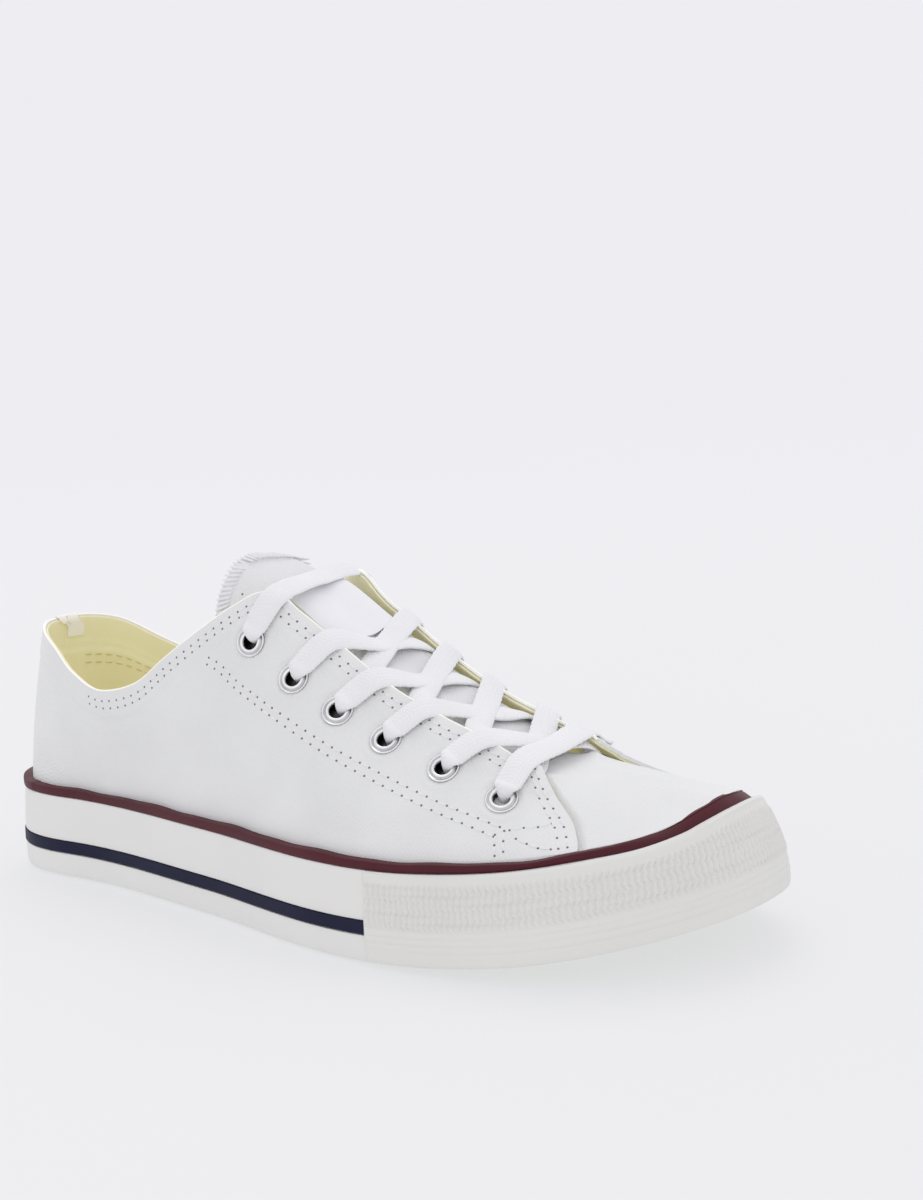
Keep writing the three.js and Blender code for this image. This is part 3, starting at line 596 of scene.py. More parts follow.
def loft(name, profiles, materials, closed=False, uv_of=None, row_slots=None, sharp=50):
    """Closed profiles joined in order: round into a ring, or with flat ends."""
    profiles = np.asarray(profiles, float)
    count, size = profiles.shape[:2]
    faces, i, j = side_faces(count, size, closed)
    if uv_of is None:
        corners = grid_corners(path_uvs(profiles), i, j)
    else:
        corners = uv_of(profiles.reshape(-1, 3))[faces]
    slots = np.zeros(len(faces), int) if row_slots is None else np.tile(row_slots, len(i))
    if not closed:
        ends = end_faces(count, size)
        faces = np.concatenate([faces, ends])
        corners = np.concatenate([corners, np.zeros((len(ends), 4, 2))])
        slots = np.concatenate([slots, np.zeros(len(ends), int)])
    return build_mesh(name, profiles, faces, corners, materials, slots, sharp)


def grid_normals(points):
    """Unit normals of an open grid of points (rows, columns, 3)."""
    return unit(np.cross(np.gradient(points, axis=0), np.gradient(points, axis=1)))


def slab(name, points, thickness, material, uv_of=None):
    """A sheet of a given thickness behind a grid of points, with softly rounded long edges."""
    normals = grid_normals(points)
    across = unit(np.gradient(points, axis=1))
    first, last = points[:, :1], points[:, -1:]
    lower = points - normals * thickness
    bulge = 0.35 * thickness
    middle = thickness / 2
    last_edge = last + across[:, -1:] * bulge - normals[:, -1:] * middle
    first_edge = first - across[:, :1] * bulge - normals[:, :1] * middle
    profile = np.concatenate([first_edge, points, last_edge, lower[:, ::-1]], axis=1)
    profile = np.roll(profile, -1, axis=1)
    return loft(name, profile, [material], uv_of=uv_of)


def bead():
    """A closed six-sided ellipsoid of unit size from quads, with its long axis on x."""
    sides, rings = 6, 5
    points = [
        (math.cos(b), math.sin(b) * math.cos(a), math.sin(b) * math.sin(a))
        for b in np.linspace(0.25, np.pi - 0.25, rings)
        for a in full_turn(sides)
    ]
    faces = []
    for low in range(0, (rings - 1) * sides, sides):
        for s in range(sides):
            ahead = (s + 1) % sides
            faces.append((low + s, low + ahead, low + sides + ahead, low + sides + s))
    end = (rings - 1) * sides
    faces += [(3, 2, 1, 0), (5, 4, 3, 0), (end, end + 1, end + 2, end + 3), (end, end + 3, end + 4, end + 5)]
    return points, faces


def joined(name, centres, axes, material):
    """Many small beads as one mesh. axes holds each bead's three axis vectors, already scaled."""
    template_points, template_faces = bead()
    count, size = len(centres), len(template_points)
    points = np.asarray(centres)[:, None, :] + np.einsum("pk,nkc->npc", template_points, np.asarray(axes))
    faces = np.asarray(template_faces)[None] + size * np.arange(count)[:, None, None]
    faces = faces.reshape(-1, 4)
    return build_mesh(name, points, faces, np.zeros((len(faces), 4, 2)), [material])


def cut_holes(piece, cutters):
    """Cuts a joined set of cutters from a closed piece."""
    modifier = piece.modifiers.new("holes", "BOOLEAN")
    modifier.operation = "DIFFERENCE"
    modifier.solver = "MANIFOLD"
    modifier.object = cutters
    bpy.context.view_layer.update()
    mesh = bpy.data.meshes.new_from_object(piece.evaluated_get(bpy.context.evaluated_depsgraph_get()))
    piece.modifiers.clear()
    piece.data = mesh


# ---------------------------------------------------------------- materials
class Finish:
    """A material under construction, with short calls for its nodes."""

    def __init__(self, name, **sockets):
        self.material = bpy.data.materials.new(name)
        self.material.use_nodes = True
        self.nodes = self.material.node_tree.nodes
        self.links = self.material.node_tree.links
        self.shader = self.nodes["Principled BSDF"]
        for socket, value in sockets.items():
            self.shader.inputs[socket.replace("_", " ")].default_value = value

    def add(self, kind, sockets=(), **settings):
        node = self.nodes.new(kind)
        for name, value in settings.items():
            setattr(node, name, value)
        for key, value in dict(sockets).items():
            if isinstance(value, bpy.types.NodeSocket):
                self.links.new(value, node.inputs[key])
            else:
                node.inputs[key].default_value = value
        return node

    def math(self, operation, a, b=0.0):
        return self.add("ShaderNodeMath", {0: a, 1: b}, operation=operation).outputs[0]

    def noise(self, vector, scale, detail=2.0):
        node = self.add("ShaderNodeTexNoise", {"Vector": vector, "Scale": scale, "Detail": detail})
        return node.outputs["Fac"]

    def place(self):
        """Object coordinates, in metres."""
        return self.add("ShaderNodeTexCoord").outputs["Object"]

    def cloth(self):
        """The cloth's own coordinates, in millimetres."""
        where = self.add("ShaderNodeTexCoord").outputs["UV"]
        split = self.add("ShaderNodeSeparateXYZ", {"Vector": where})
        return where, split.outputs[0], split.outputs[1]

    def wave(self, value, pitch):
        return self.math("SINE", self.math("MULTIPLY", value, 2 * math.pi / pitch))

    def stretched_noise(self, vector, scale):
        mapping = self.add("ShaderNodeMapping", {"Vector": vector, "Scale": scale})
        return self.noise(mapping.outputs["Vector"], 1.0)

    def glow(self, colour, strength):
        self.shader.inputs["Emission Color"].default_value = (*colour, 1)
        self.shader.inputs["Emission Strength"].default_value = strength

    def two_tone(self, low, high, share):
        ramp = self.add("ShaderNodeValToRGB", {"Fac": share})
        ramp.color_ramp.elements[0].color = (*low, 1)
        ramp.color_ramp.elements[1].color = (*high, 1)
        ramp.color_ramp.elements[0].position = 0.3
        ramp.color_ramp.elements[1].position = 0.7
        self.links.new(ramp.outputs["Color"], self.shader.inputs["Base Color"])

    def vary_roughness(self, low, high, share):
        span = self.add("ShaderNodeMapRange", {"Value": share, "To Min": low, "To Max": high})
        self.links.new(span.outputs["Result"], self.shader.inputs["Roughness"])

    def bump(self, height, strength, distance):
        node = self.add("ShaderNodeBump", {"Height": height, "Strength": strength, "Distance": distance})
        self.links.new(node.outputs["Normal"], self.shader.inputs["Normal"])


def woven(name, low, high, thread=0.75, strength=0.35, glow=0.0):
    """A plain weave: raised crossings of two sets of threads, slubs and a faint unevenness of colour. A
    glow, where given, is painted light: it lightens cloth that lies in shade inside the shoe and paints a
    bright highlight along the folded edges."""
    finish = Finish(name, Roughness=0.92, Sheen_Weight=0.2, Sheen_Roughness=0.5, Specular_IOR_Level=0.2)
    finish.glow(high, glow)
    where, u, v = finish.cloth()
    crossing = finish.math("MULTIPLY", finish.wave(u, 2 * thread), finish.wave(v, 2 * thread))
    slubs = [finish.stretched_noise(where, scale) for scale in ((0.12, 1.6, 1), (1.6, 0.12, 1))]
    height = finish.math("ADD", finish.math("MULTIPLY", crossing, 0.5), finish.math("ADD", *slubs))
    finish.bump(height, strength, 0.0002)
    finish.two_tone(low, high, finish.noise(finish.place(), 38.0, 3.0))
    return finish.material


def rubber(name, low, high, roughness=0.5, strength=0.12, gloss=0.4):
    """Moulded rubber: faint mottling, uneven gloss and a fine skin."""
    finish = Finish(name, Specular_IOR_Level=gloss)
    where = finish.place()
    finish.two_tone(low, high, finish.noise(where, 30.0, 4.0))
    finish.vary_roughness(roughness - 0.07, roughness + 0.1, finish.noise(where, 90.0, 3.0))
    finish.bump(finish.noise(where, 900.0), strength, 0.0002)
    return finish.material


def lace_finish():
    """A flat braid: slanted ribs that meet in the middle."""
    finish = Finish("lace_braid", Roughness=0.88, Sheen_Weight=0.2, Specular_IOR_Level=0.2)
    _, u, v = finish.cloth()
    middle = finish.math("ABSOLUTE", finish.math("SUBTRACT", v, LACE_WIDTH / 2))
    slant = finish.math("ADD", u, finish.math("MULTIPLY", middle, 0.55))
    ribs = finish.wave(slant, BRAID_PITCH)
    height = finish.math("ADD", ribs, finish.math("MULTIPLY", finish.wave(v, 0.95), 0.8))
    height = finish.math("ADD", height, finish.noise(finish.place(), 1500.0))
    finish.bump(height, 0.25, 0.0002)
    finish.two_tone((0.85, 0.85, 0.86), (0.89, 0.89, 0.90), finish.noise(finish.place(), 60.0))
    return finish.material


def metal_finish(name, low, high):
    """Plated metal, slightly worn."""
    finish = Finish(name, Metallic=1.0)
    where = finish.place()
    finish.two_tone(low, high, finish.noise(where, 300.0))
    finish.vary_roughness(0.2, 0.36, finish.noise(where, 700.0))
    finish.bump(finish.noise(where, 900.0), 0.05, 0.0001)
    return finish.material


def thread_finish(name, low, high):
    """Twisted sewing thread."""
    finish = Finish(name, Roughness=0.85, Sheen_Weight=0.2)
    where = finish.place()
    finish.two_tone(low, high, finish.noise(where, 900.0))
    finish.bump(finish.noise(where, 2500.0), 0.3, 0.0001)
    return finish.material


CANVAS = woven("canvas_white", (0.79, 0.795, 0.785), (0.835, 0.84, 0.825))
TONGUE_CANVAS = woven("tongue_white", (0.79, 0.79, 0.795), (0.83, 0.83, 0.83))
# Painted highlight: the cream binding and the roll of the folded edge glow, a bright line along the
# opening's edge.
BINDING_HIGHLIGHT = woven("edge_cream_highlight", (0.93, 0.91, 0.84), (0.95, 0.94, 0.88), strength=0.1, glow=0.08)
EDGE_ROLL_HIGHLIGHT = woven("edge_roll_highlight", (0.93, 0.90, 0.80), (0.95, 0.93, 0.84), strength=0.05, glow=0.17)
# Painted light: the lining, the heel tape and the insole glow a little, which lightens their shade inside
# the shoe.
LINING_GLOW = woven("lining_yellow_glow", (0.83, 0.79, 0.51), (0.87, 0.83, 0.56), strength=0.12, glow=0.1)
TAPE_GLOW = woven("heel_tape_glow", (0.86, 0.84, 0.77), (0.90, 0.88, 0.81), strength=0.15, glow=0.1)
SOCK_GLOW = woven("insole_cloth_glow", (0.80, 0.74, 0.44), (0.84, 0.78, 0.50), strength=0.2, glow=0.1)
LABEL = woven("label_satin", (0.85, 0.85, 0.87), (0.88, 0.88, 0.895), thread=0.35, strength=0.15)
SIDEWALL = rubber("sidewall_ivory", (0.80, 0.79, 0.765), (0.83, 0.82, 0.79), 0.5)
BUMPER = rubber("bumper_ivory", (0.77, 0.765, 0.73), (0.80, 0.795, 0.76), 0.55)
TREAD = rubber("tread_gum", (0.70, 0.68, 0.60), (0.77, 0.75, 0.68), 0.6, strength=0.25)
MAROON = rubber("stripe_maroon", (0.062, 0.006, 0.012), (0.085, 0.009, 0.017), 0.45, gloss=0.25)
NAVY = rubber("stripe_navy", (0.007, 0.009, 0.03), (0.012, 0.014, 0.042), 0.48, gloss=0.15)
LACE = lace_finish()
NICKEL = metal_finish("eyelet_nickel", (0.86, 0.86, 0.87), (0.97, 0.97, 0.97))
# Painted shade: darker grey metal for the groove between the ring's lips and for its outer edge and
# underside.
GROOVE_SHADE = metal_finish("eyelet_groove_shade", (0.5, 0.5, 0.51), (0.66, 0.66, 0.67))
# Painted shade: near-black metal inside the bore and on its closed back, standing for the dark of the hole.
BARREL_SHADE = metal_finish("eyelet_barrel_shade", (0.03, 0.03, 0.03), (0.06, 0.06, 0.06))
THREAD = thread_finish("stitch_white", (0.80, 0.80, 0.82), (0.88, 0.88, 0.89))
# Painted shade: dark grey dots at the ends of stitches stand for the shade in the holes the stitching
# pierced.
NEEDLE_HOLE_SHADE = thread_finish("needle_hole_shade", (0.13, 0.13, 0.14), (0.22, 0.22, 0.23))
GOLD_THREAD = thread_finish("stitch_yellow", (0.70, 0.60, 0.30), (0.78, 0.69, 0.38))


def keep(piece, slot, *nodes):
    """Every piece rides on the one body, and may stand for CAD nodes."""
    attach(piece, "root")
    if nodes:
        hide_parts(*nodes)


# ---------------------------------------------------------------- camera, light and floor
BACKDROP = (0.855, 0.85, 0.888, 1)


def make_camera():
    """A view from in front of the shoe's outer side and a little above it."""
    azimuth, elevation, roll = (math.radians(angle) for angle in CAMERA_ANGLES)
    level = math.cos(elevation)
    back = Vector((math.sin(azimuth) * level, -math.cos(azimuth) * level, math.sin(elevation)))
    right = Vector((math.cos(azimuth), math.sin(azimuth), 0))
    up = back.cross(right)
    right_rolled = math.cos(roll) * right + math.sin(roll) * up
    up_rolled = -math.sin(roll) * right + math.cos(roll) * up
    camera = add_object("camera", bpy.data.cameras.new("camera"))
    camera.data.sensor_fit = "HORIZONTAL"
    camera.data.sensor_width = CAMERA_SENSOR
    camera.data.lens = CAMERA_LENS
    camera.data.clip_start = 0.01
    camera.data.clip_end = 100
    place = Matrix((right_rolled, up_rolled, back)).transposed().to_4x4()
    place.translation = Vector(CAMERA_PLACE)
    camera.matrix_world = place
    bpy.context.scene.camera = camera


def make_lights():
    """Even studio light: a pale surround, a soft sun from above the far side and a weaker one in front."""
    world = bpy.data.worlds.new("studio")
    world.use_nodes = True
    world.node_tree.nodes["Background"].inputs["Color"].default_value = BACKDROP
    bpy.context.scene.world = world
    for name, energy, angle, turn in (("key", 0.52, 40, (-25, -20, 0)), ("fill", 0.1, 80, (50, 25, 10))):
        light = bpy.data.lights.new(name, "SUN")
        light.energy = energy
        light.angle = math.radians(angle)
        add_object(name, light).rotation_euler = [math.radians(value) for value in turn]
    bpy.context.scene.view_settings.view_transform = "Standard"


def make_floor():
    """A pale table that glows a little, so that shadows stay light, and melts into the backdrop far away."""
    finish = Finish("floor_pale", Roughness=0.8, Specular_IOR_Level=0.1)
    finish.glow((0.96, 0.98, 1.0), 0.56)
    finish.two_tone((0.295, 0.285, 0.29), (0.31, 0.30, 0.305), finish.noise(finish.place(), 1.2))
    away = finish.add("ShaderNodeVectorMath", {0: finish.place()}, operation="LENGTH").outputs["Value"]
    share = finish.add("ShaderNodeMapRange", {"Value": away, "From Min": 0.35, "From Max": 2.0}).outputs[0]
    backdrop = finish.add("ShaderNodeEmission", {"Color": BACKDROP}).outputs[0]
    surface = finish.add("ShaderNodeMixShader", {0: share, 1: finish.shader.outputs[0], 2: backdrop})
    finish.links.new(surface.outputs[0], finish.nodes["Material Output"].inputs["Surface"])
    points = [(FLOOR_RADIUS * math.cos(a), FLOOR_RADIUS * math.sin(a), 0) for a in full_turn(96)]
    mesh = bpy.data.meshes.new("floor")
    mesh.from_pydata(points, [], [list(range(len(points)))])
    mesh.materials.append(finish.material)
    floor = add_object("floor", mesh)


# ---------------------------------------------------------------- sole
def ring_stations():
    """Stations of the closed loop: heel, lateral side, toe, medial side, and how far round each is."""
    share = np.linspace(0, 1, 261)
    lateral = np.array(station("lateral", share))
    medial = np.array(station("medial", share[1:-1]))[:, ::-1]
    place = np.concatenate([lateral, medial], axis=1)
    return place, np.concatenate([share, 2 - share[1:-1]])


def span_stations(start, toe, spacing):
    """Stations ahead of x = start round the toe, or behind it round the heel, evenly spaced."""
    parts = []
    for side in SIGN:
        xs, _, share = tracks[side]
        turn = np.interp(start, xs, share)
        steps = int(side_length(side) * (1 - turn if toe else turn) / spacing)
        parts.append(np.array(station(side, np.linspace(turn, 1 if toe else 0, steps + 1))))
    return np.concatenate([parts[0], parts[1][:, -2::-1]], axis=1)


def profile_ring(place, rows):
    """Profiles from rows of (function, rise, inwards)."""
    return np.stack([function(place, rise, inwards) for function, rise, inwards in rows], 1)


def make_foxing():
    """The rubber sidewall, with a shallow groove for the lower stripe and softened edges."""
    place, _ = ring_stations()
    top = wall_at["top"](place[0])
    low, high = STRIPE_BOTTOM - 0.25, STRIPE_BOTTOM + STRIPE_HEIGHT + 0.25
    wall = [(on_wall, rise, 0) for rise in (FOXING_LIFT, 1.4, 2.2, 3.2, 5, 7)]
    wall += [(on_wall, low - 0.3, 0), (on_wall, low, 0.12), (on_wall, low + 0.05, 0.6)]
    wall += [(on_wall, high - 0.05, 0.6), (on_wall, high, 0.12), (on_wall, high + 0.3, 0)]
    wall += [(on_wall, rise, 0) for rise in (15, 17.5, 20, 22.5)]
    wall += [(on_wall, top - 1.6, 0), (on_wall, top - 0.6, 0.05)]
    wall += [(on_wall, top - 0.15, 0.25), (on_wall, top, 0.7)]
    back = [(behind_wall, top, FOXING_WALL), (behind_wall, 17.0, FOXING_WALL)]
    back += [(on_wall, 6.8, FOXING_WALL), (on_wall, FOXING_LIFT, FOXING_WALL)]
    piece = loft("foxing_wall", profile_ring(place, wall + back), [SIDEWALL], closed=True, sharp=40)
    keep(piece, "sidewall_rubber", "foxing")


def make_upper_stripe():
    """A flat rubber band laid by hand: its edges waver, its ends overlap near the heel, and round the toe it
    leans back on to the canvas."""
    place, turn = ring_stations()
    x = place[0]
    top = wall_at["top"](x)
    waver = 0.2 * np.sin(turn * 47) + 0.12 * np.sin(turn * 101 + 1.3) - 0.25
    lap = 0.3 * ease((0.125 - turn) / 0.006) * ease(turn / 0.03)
    back = 3.4 * ease((x - 238) / 40)
    low = top + 0.08 + waver * 0.2 + lap * 0.3
    high = stripe_top(place) + waver + lap + 0.35 * ease((x - 238) / 36)
    rows = [
        (behind_wall, low, 0.35 - lap),
        (behind_wall, low + 0.1, 0.05 - lap),
        (behind_wall, mix(low, high, 0.3), -0.1 - lap + back * 0.25),
        (behind_wall, mix(low, high, 0.7), -0.1 - lap + back * 0.65),
        (behind_wall, high - 0.15, 0 - lap + back * 0.95),
        (behind_wall, high, 0.25 - lap + back),
        (behind_wall, high - 0.1, FOXING_WALL + 0.15),
        (behind_wall, low, FOXING_WALL - 0.1),
    ]
    piece = loft("stripe_upper", profile_ring(place, rows), [MAROON], closed=True)
    keep(piece, "maroon_rubber", "upper_stripe")


def make_lower_stripe():
    place = span_stations(BUMPER_START - 0.4, toe=False, spacing=1.2)
    low, high = STRIPE_BOTTOM, STRIPE_BOTTOM + STRIPE_HEIGHT
    rows = [
        (on_wall, low, 0.2),
        (on_wall, low + 0.25, -STRIPE_PROUD),
        (on_wall, high - 0.25, -STRIPE_PROUD),
        (on_wall, high, 0.2),
        (on_wall, high - 0.05, 0.55),
        (on_wall, low + 0.05, 0.55),
    ]
    keep(loft("stripe_lower", profile_ring(place, rows), [NAVY]), "navy_rubber", "lower_stripe")


def bumper_relief(distance, rise, top):
    """Fine wavy upright ribs over the bumper's upper part, and shallow lines near its foot."""
    wander = 0.3 * np.abs(((rise / 2.6) % 1) * 2 - 1) + 0.15 * np.sin(rise * 0.9 + distance * 0.11)
    ribs = 0.5 + 0.5 * np.cos(2 * np.pi * (distance / RIB_PITCH + wander))
    band = ease((rise - 10.8) / 1.5) * ease((top - 2.6 - rise) / 1.0)
    lines = sum(np.exp(-(((rise - height) / 0.32) ** 2)) for height in BUMPER_LINES)
    return 0.75 * (ribs - 0.45) * band - 0.25 * lines


def make_bumper():
    """The thicker toe band. Its top falls inwards to the stripe, over the sidewall's top."""
    place = span_stations(BUMPER_START, toe=True, spacing=0.38)
    wall_top = wall_at["top"](place[0])
    rim = wall_at["rim"](place[0])
    top = wall_top + rim
    distance = run_length(place[:2].T)
    outer = -(GAP + BUMPER_THICKNESS)
    ends = ease(distance / 1.2) * ease((distance[-1] - distance) / 1.2)
    front = [(on_wall, np.full_like(top, BUMPER_BOTTOM), outer + 0.5)]
    for share in np.linspace(0, 1, 52):
        rise = mix(BUMPER_BOTTOM + 0.35, top - 1.1, share)
        relief = bumper_relief(distance, rise, top) * ends
        front.append((on_wall, rise, outer - relief + 0.8 * (1 - ends)))
    front += [(on_wall, top - 0.5, outer + 0.12 + 0.7 * (1 - ends)), (on_wall, top, outer + 0.75)]
    lip = wall_at["setback"](place[0]) * ease(rim)
    lip_top = mix(top - 0.1, wall_top + 0.35, ease(rim / 0.6))
    back = [
        (on_wall, mix(top - 0.05, lip_top, 0.4), mix(-0.1, lip, 0.35) - 0.1),
        (on_wall, lip_top, lip - 0.1),
        (on_wall, lip_top - 0.3, lip - 0.1),
        (on_wall, mix(top - 0.3, wall_top + 0.04, ease(rim / 0.6)), -0.05),
    ]
    for share in np.linspace(1, 0, len(front) - len(back) + 1)[1:]:
        back.append((on_wall, mix(BUMPER_BOTTOM, wall_top - 0.3, share), -0.05))
    piece = loft("bumper_toe", profile_ring(place, front + back), [BUMPER], sharp=35)
    keep(piece, "bumper_rubber", "toe_bumper")


def plate(name, rim_inset, low_of, high_of, material, across=70, along_steps=240):
    """A plate over the sole's outline, from straight strips across the shoe."""
    share = np.linspace(0, 1, along_steps + 1)
    rims = []
    for side in SIGN:
        x, y, out_x, out_y = station(side, share)
        rims.append(np.stack([x - out_x * rim_inset, y - out_y * rim_inset], -1))
    cross = (1 - np.cos(np.linspace(0, np.pi, across + 1))) / 2
    flat = rims[0][:, None] + (rims[1] - rims[0])[:, None] * cross[None, :, None]
    edge = np.minimum(cross, 1 - cross)[None] * np.linalg.norm(rims[1] - rims[0], axis=-1)[:, None]
    low = np.dstack([flat, low_of(flat, edge)])
    high = np.dstack([flat, high_of(flat, edge)])
    return loft(name, np.concatenate([low, high[:, ::-1]], axis=1), [material], sharp=40)


def tread_relief(x, y, edge):
    """Straight grooves across the heel and forefoot, with fine herringbone ribs between them."""
    inside = ease((edge - GROOVE_RIM + 1) / 1.0)
    in_arch = (x > ARCH_FROM) & (x < ARCH_TO)
    phase = (x - GROOVE_FIRST + GROOVE_PITCH / 2) % GROOVE_PITCH - GROOVE_PITCH / 2
    used = (x > GROOVE_FIRST - GROOVE_PITCH / 2) & (x < SOLE_LENGTH - 18) & ~in_arch
    groove = GROOVE_DEPTH * ease((GROOVE_WIDTH / 2 + 0.3 - np.abs(phase)) / 0.6) * used
    zigzag = np.abs(((y / 9) % 1) * 2 - 1) * 3.2
    ribs = 0.35 * (0.5 + 0.5 * np.sin(2 * np.pi * (x + zigzag) / 3.4)) * np.where(groove > 0.1, 0, 1)
    return (groove + ribs) * inside


def outside_pads(x, y):
    """1 outside the tread's two pads, under the heel and the ball of the foot, and 0 on them."""
    outside = 1.0
    for middle_x, middle_y, length, width in PADS:
        outside = outside - ease(length - np.abs(x - middle_x)) * ease(width - np.abs(y - middle_y))
    return outside


def make_outsole():
    def low(flat, edge):
        x, y = flat[..., 0], flat[..., 1]
        return sole_line(x) + arch_line(x) + tread_relief(x, y, edge) + PAD_DEPTH * outside_pads(x, y)

    def high(flat, edge):
        return sole_line(flat[..., 0]) + OUTSOLE_THICKNESS

    piece = plate("outsole_tread", FOXING_WALL + 0.1, low, high, TREAD, across=110, along_steps=420)
    keep(piece, "sole_rubber", "outsole")


def make_insole():
    bottom = OUTSOLE_THICKNESS + GAP

    def low(flat, edge):
        return sole_line(flat[..., 0]) + bottom + 0 * edge

    def high(flat, edge):
        cupped = 0.9 * ease(1 - edge / 4) - 0.8 * ease(edge / 24)
        return sole_line(flat[..., 0]) + bottom + INSOLE_THICKNESS + cupped

    inset = FOXING_WALL + LINING_DEPTH + 2.2
    keep(plate("insole_sock", inset, low, high, SOCK_GLOW, across=40, along_steps=140), "lining", "insole")


# ---------------------------------------------------------------- upper
def side_split(turns):
    """Which entries of signed turns (lateral negative) belong to each side."""
    return {"lateral": turns < 0, "medial": turns >= 0}


def sweep_sheet(turns, ups, along_of, frame_of):
    """Points and normals of a sheet that runs through both sides: turns (columns) by ups (rows)."""
    shape = (len(turns), len(ups))
    points, normals, tops = np.zeros((*shape, 3)), np.zeros((*shape, 3)), np.zeros((*shape, 3))
    for side, chosen in side_split(turns).items():
        share = np.abs(turns[chosen])[:, None] * np.ones(len(ups))[None, :]
        height = np.ones_like(share) * ups[None, :]
        points[chosen], normals[chosen], tops[chosen] = frame_of(side, along_of(side, share, height), height)
    return points, normals, tops


def sheet_profile(turns, ups, along_of, frame_of, depth, thickness):
    """Closed profiles of a sheet with a folded top edge and a skirt down behind the sidewall."""
    points, normals, tops = sweep_sheet(turns, ups, along_of, frame_of)
    outer = points - normals * depth
    inner = points - normals * (depth + thickness)
    down = np.array([0, 0, -SKIRT])
    middle = (outer[:, -1] + inner[:, -1]) / 2
    radius = thickness / 2
    fold = [
        middle + radius * (normals[:, -1] * math.cos(angle) + tops[:, -1] * math.sin(angle))
        for angle in np.radians([45, 90, 135, 135])
    ]
    rows = [outer[:, :1] + down, outer, np.stack(fold, 1), inner[:, ::-1], inner[:, :1] + down]
    return np.concatenate(rows, 1)


def quarter_along(side, share, height):
    return share * front_at[side](height)


def quarter_uv(points):
    """Cloth coordinates of the quarters: round the shoe, and height."""
    x, y, z = points.T
    return np.stack([x + 0.9 * y * np.sign(y) * ease((40 - x) / 40), z * 1.05], -1)


def vamp_uv(points):
    return points[:, :2] * [1, 1.1]


def eyelet_cutters(radius):
    """Twelve pins through the eyelets' centres, as one mesh."""
    sides = 20
    ring = [(math.cos(a), math.sin(a)) for a in full_turn(sides)]
    template = [(x, y, -1) for x, y in ring] + [(x, y, 1) for x, y in ring]
    faces = [(s, (s + 1) % sides, sides + (s + 1) % sides, sides + s) for s in range(sides)]
    mesh = bpy.data.meshes.new("cutters")
    points, polygons = [], []
    for place in eyelets.values():
        side_way = np.cross(place["normal"], place["upwards"])
        base = len(points)
        for x, y, z in template:
            out = radius * (x * place["upwards"] + y * side_way)
            points.append(tuple((place["point"] + out + 5 * z * place["normal"] - ORIGIN) * METRES))
        polygons += [tuple(base + k for k in face) for face in faces]
        polygons.append(tuple(base + k for k in range(sides))[::-1])
        polygons.append(tuple(base + sides + k for k in range(sides)))
    mesh.from_pydata(points, [], polygons)
    cutters = add_object("cutters", mesh)
    bpy.context.view_layer.update()
    made = bmesh.new()
    made.from_mesh(mesh)
    bmesh.ops.recalc_face_normals(made, faces=made.faces)
    made.to_mesh(mesh)
    made.free()
    return cutters


def make_quarters():
    """The canvas from the front edge on one side, round the heel, to the front edge on the other."""
    turns = both_sides(231)
    ups = np.linspace(0, 1, 60)
    profile = sheet_profile(turns, ups, quarter_along, quarter_frame, 0, CANVAS_THICKNESS)
    size = profile.shape[1]
    rows = np.zeros(size, int)
    rows[len(ups) + 1 : len(ups) + 4] = 1
    canvas = loft("canvas_quarters", profile, [CANVAS, BINDING_HIGHLIGHT], uv_of=quarter_uv, row_slots=rows)
    inner_ups = np.linspace(0, 0.992, 56)
    inner_turns = both_sides(141) * 0.994
    depth = CANVAS_THICKNESS + 0.05
    profile = sheet_profile(inner_turns, inner_ups, quarter_along, lining_frame, depth, LINING_DEPTH - depth)
    lining = loft("quarter_lining", profile, [LINING_GLOW], uv_of=quarter_uv)
    cutters = eyelet_cutters(EYELET_BARREL + 0.15)
    for piece in (canvas, lining):
        cut_holes(piece, cutters)
    bpy.data.objects.remove(cutters)
    keep(canvas, "canvas", "upper")
    keep(lining, "lining")


def make_edge_roll():
    """The fine bright roll of the cloth's folded edge, all round the opening; its glow paints a highlight
    along it.
    """
    edges = []
    for side, shares in (("lateral", np.linspace(0.99, 0, 240)[:-1]), ("medial", np.linspace(0, 0.99, 240))):
        edges.append(quarter_frame(side, quarter_along(side, shares, 1.0), np.ones_like(shares)))
    point, normal, top = (np.concatenate(parts) for parts in zip(*edges))
    centre = point - normal * (CANVAS_THICKNESS / 2 - 0.27) + top * 0.38
    turn = full_turn(8)[None, :, None]
    profile = centre[:, None] + 0.27 * (normal[:, None] * np.cos(turn) + top[:, None] * np.sin(turn))
    keep(loft("edge_roll_highlight", profile, [EDGE_ROLL_HIGHLIGHT]), "canvas")


def vamp_frame(side, along, up):
    """The toe piece: level with the quarters ahead of them, and tucked beneath them."""
    point, normal, upwards = canvas_frame(side, along, up)
    tucked = ease((front_distance(side, along, up) + 3.0) / 2.8)
    depth = (CANVAS_THICKNESS + 0.5) * tucked + 0.55 * ease(up)
    return point - normal * depth[..., None], normal, upwards


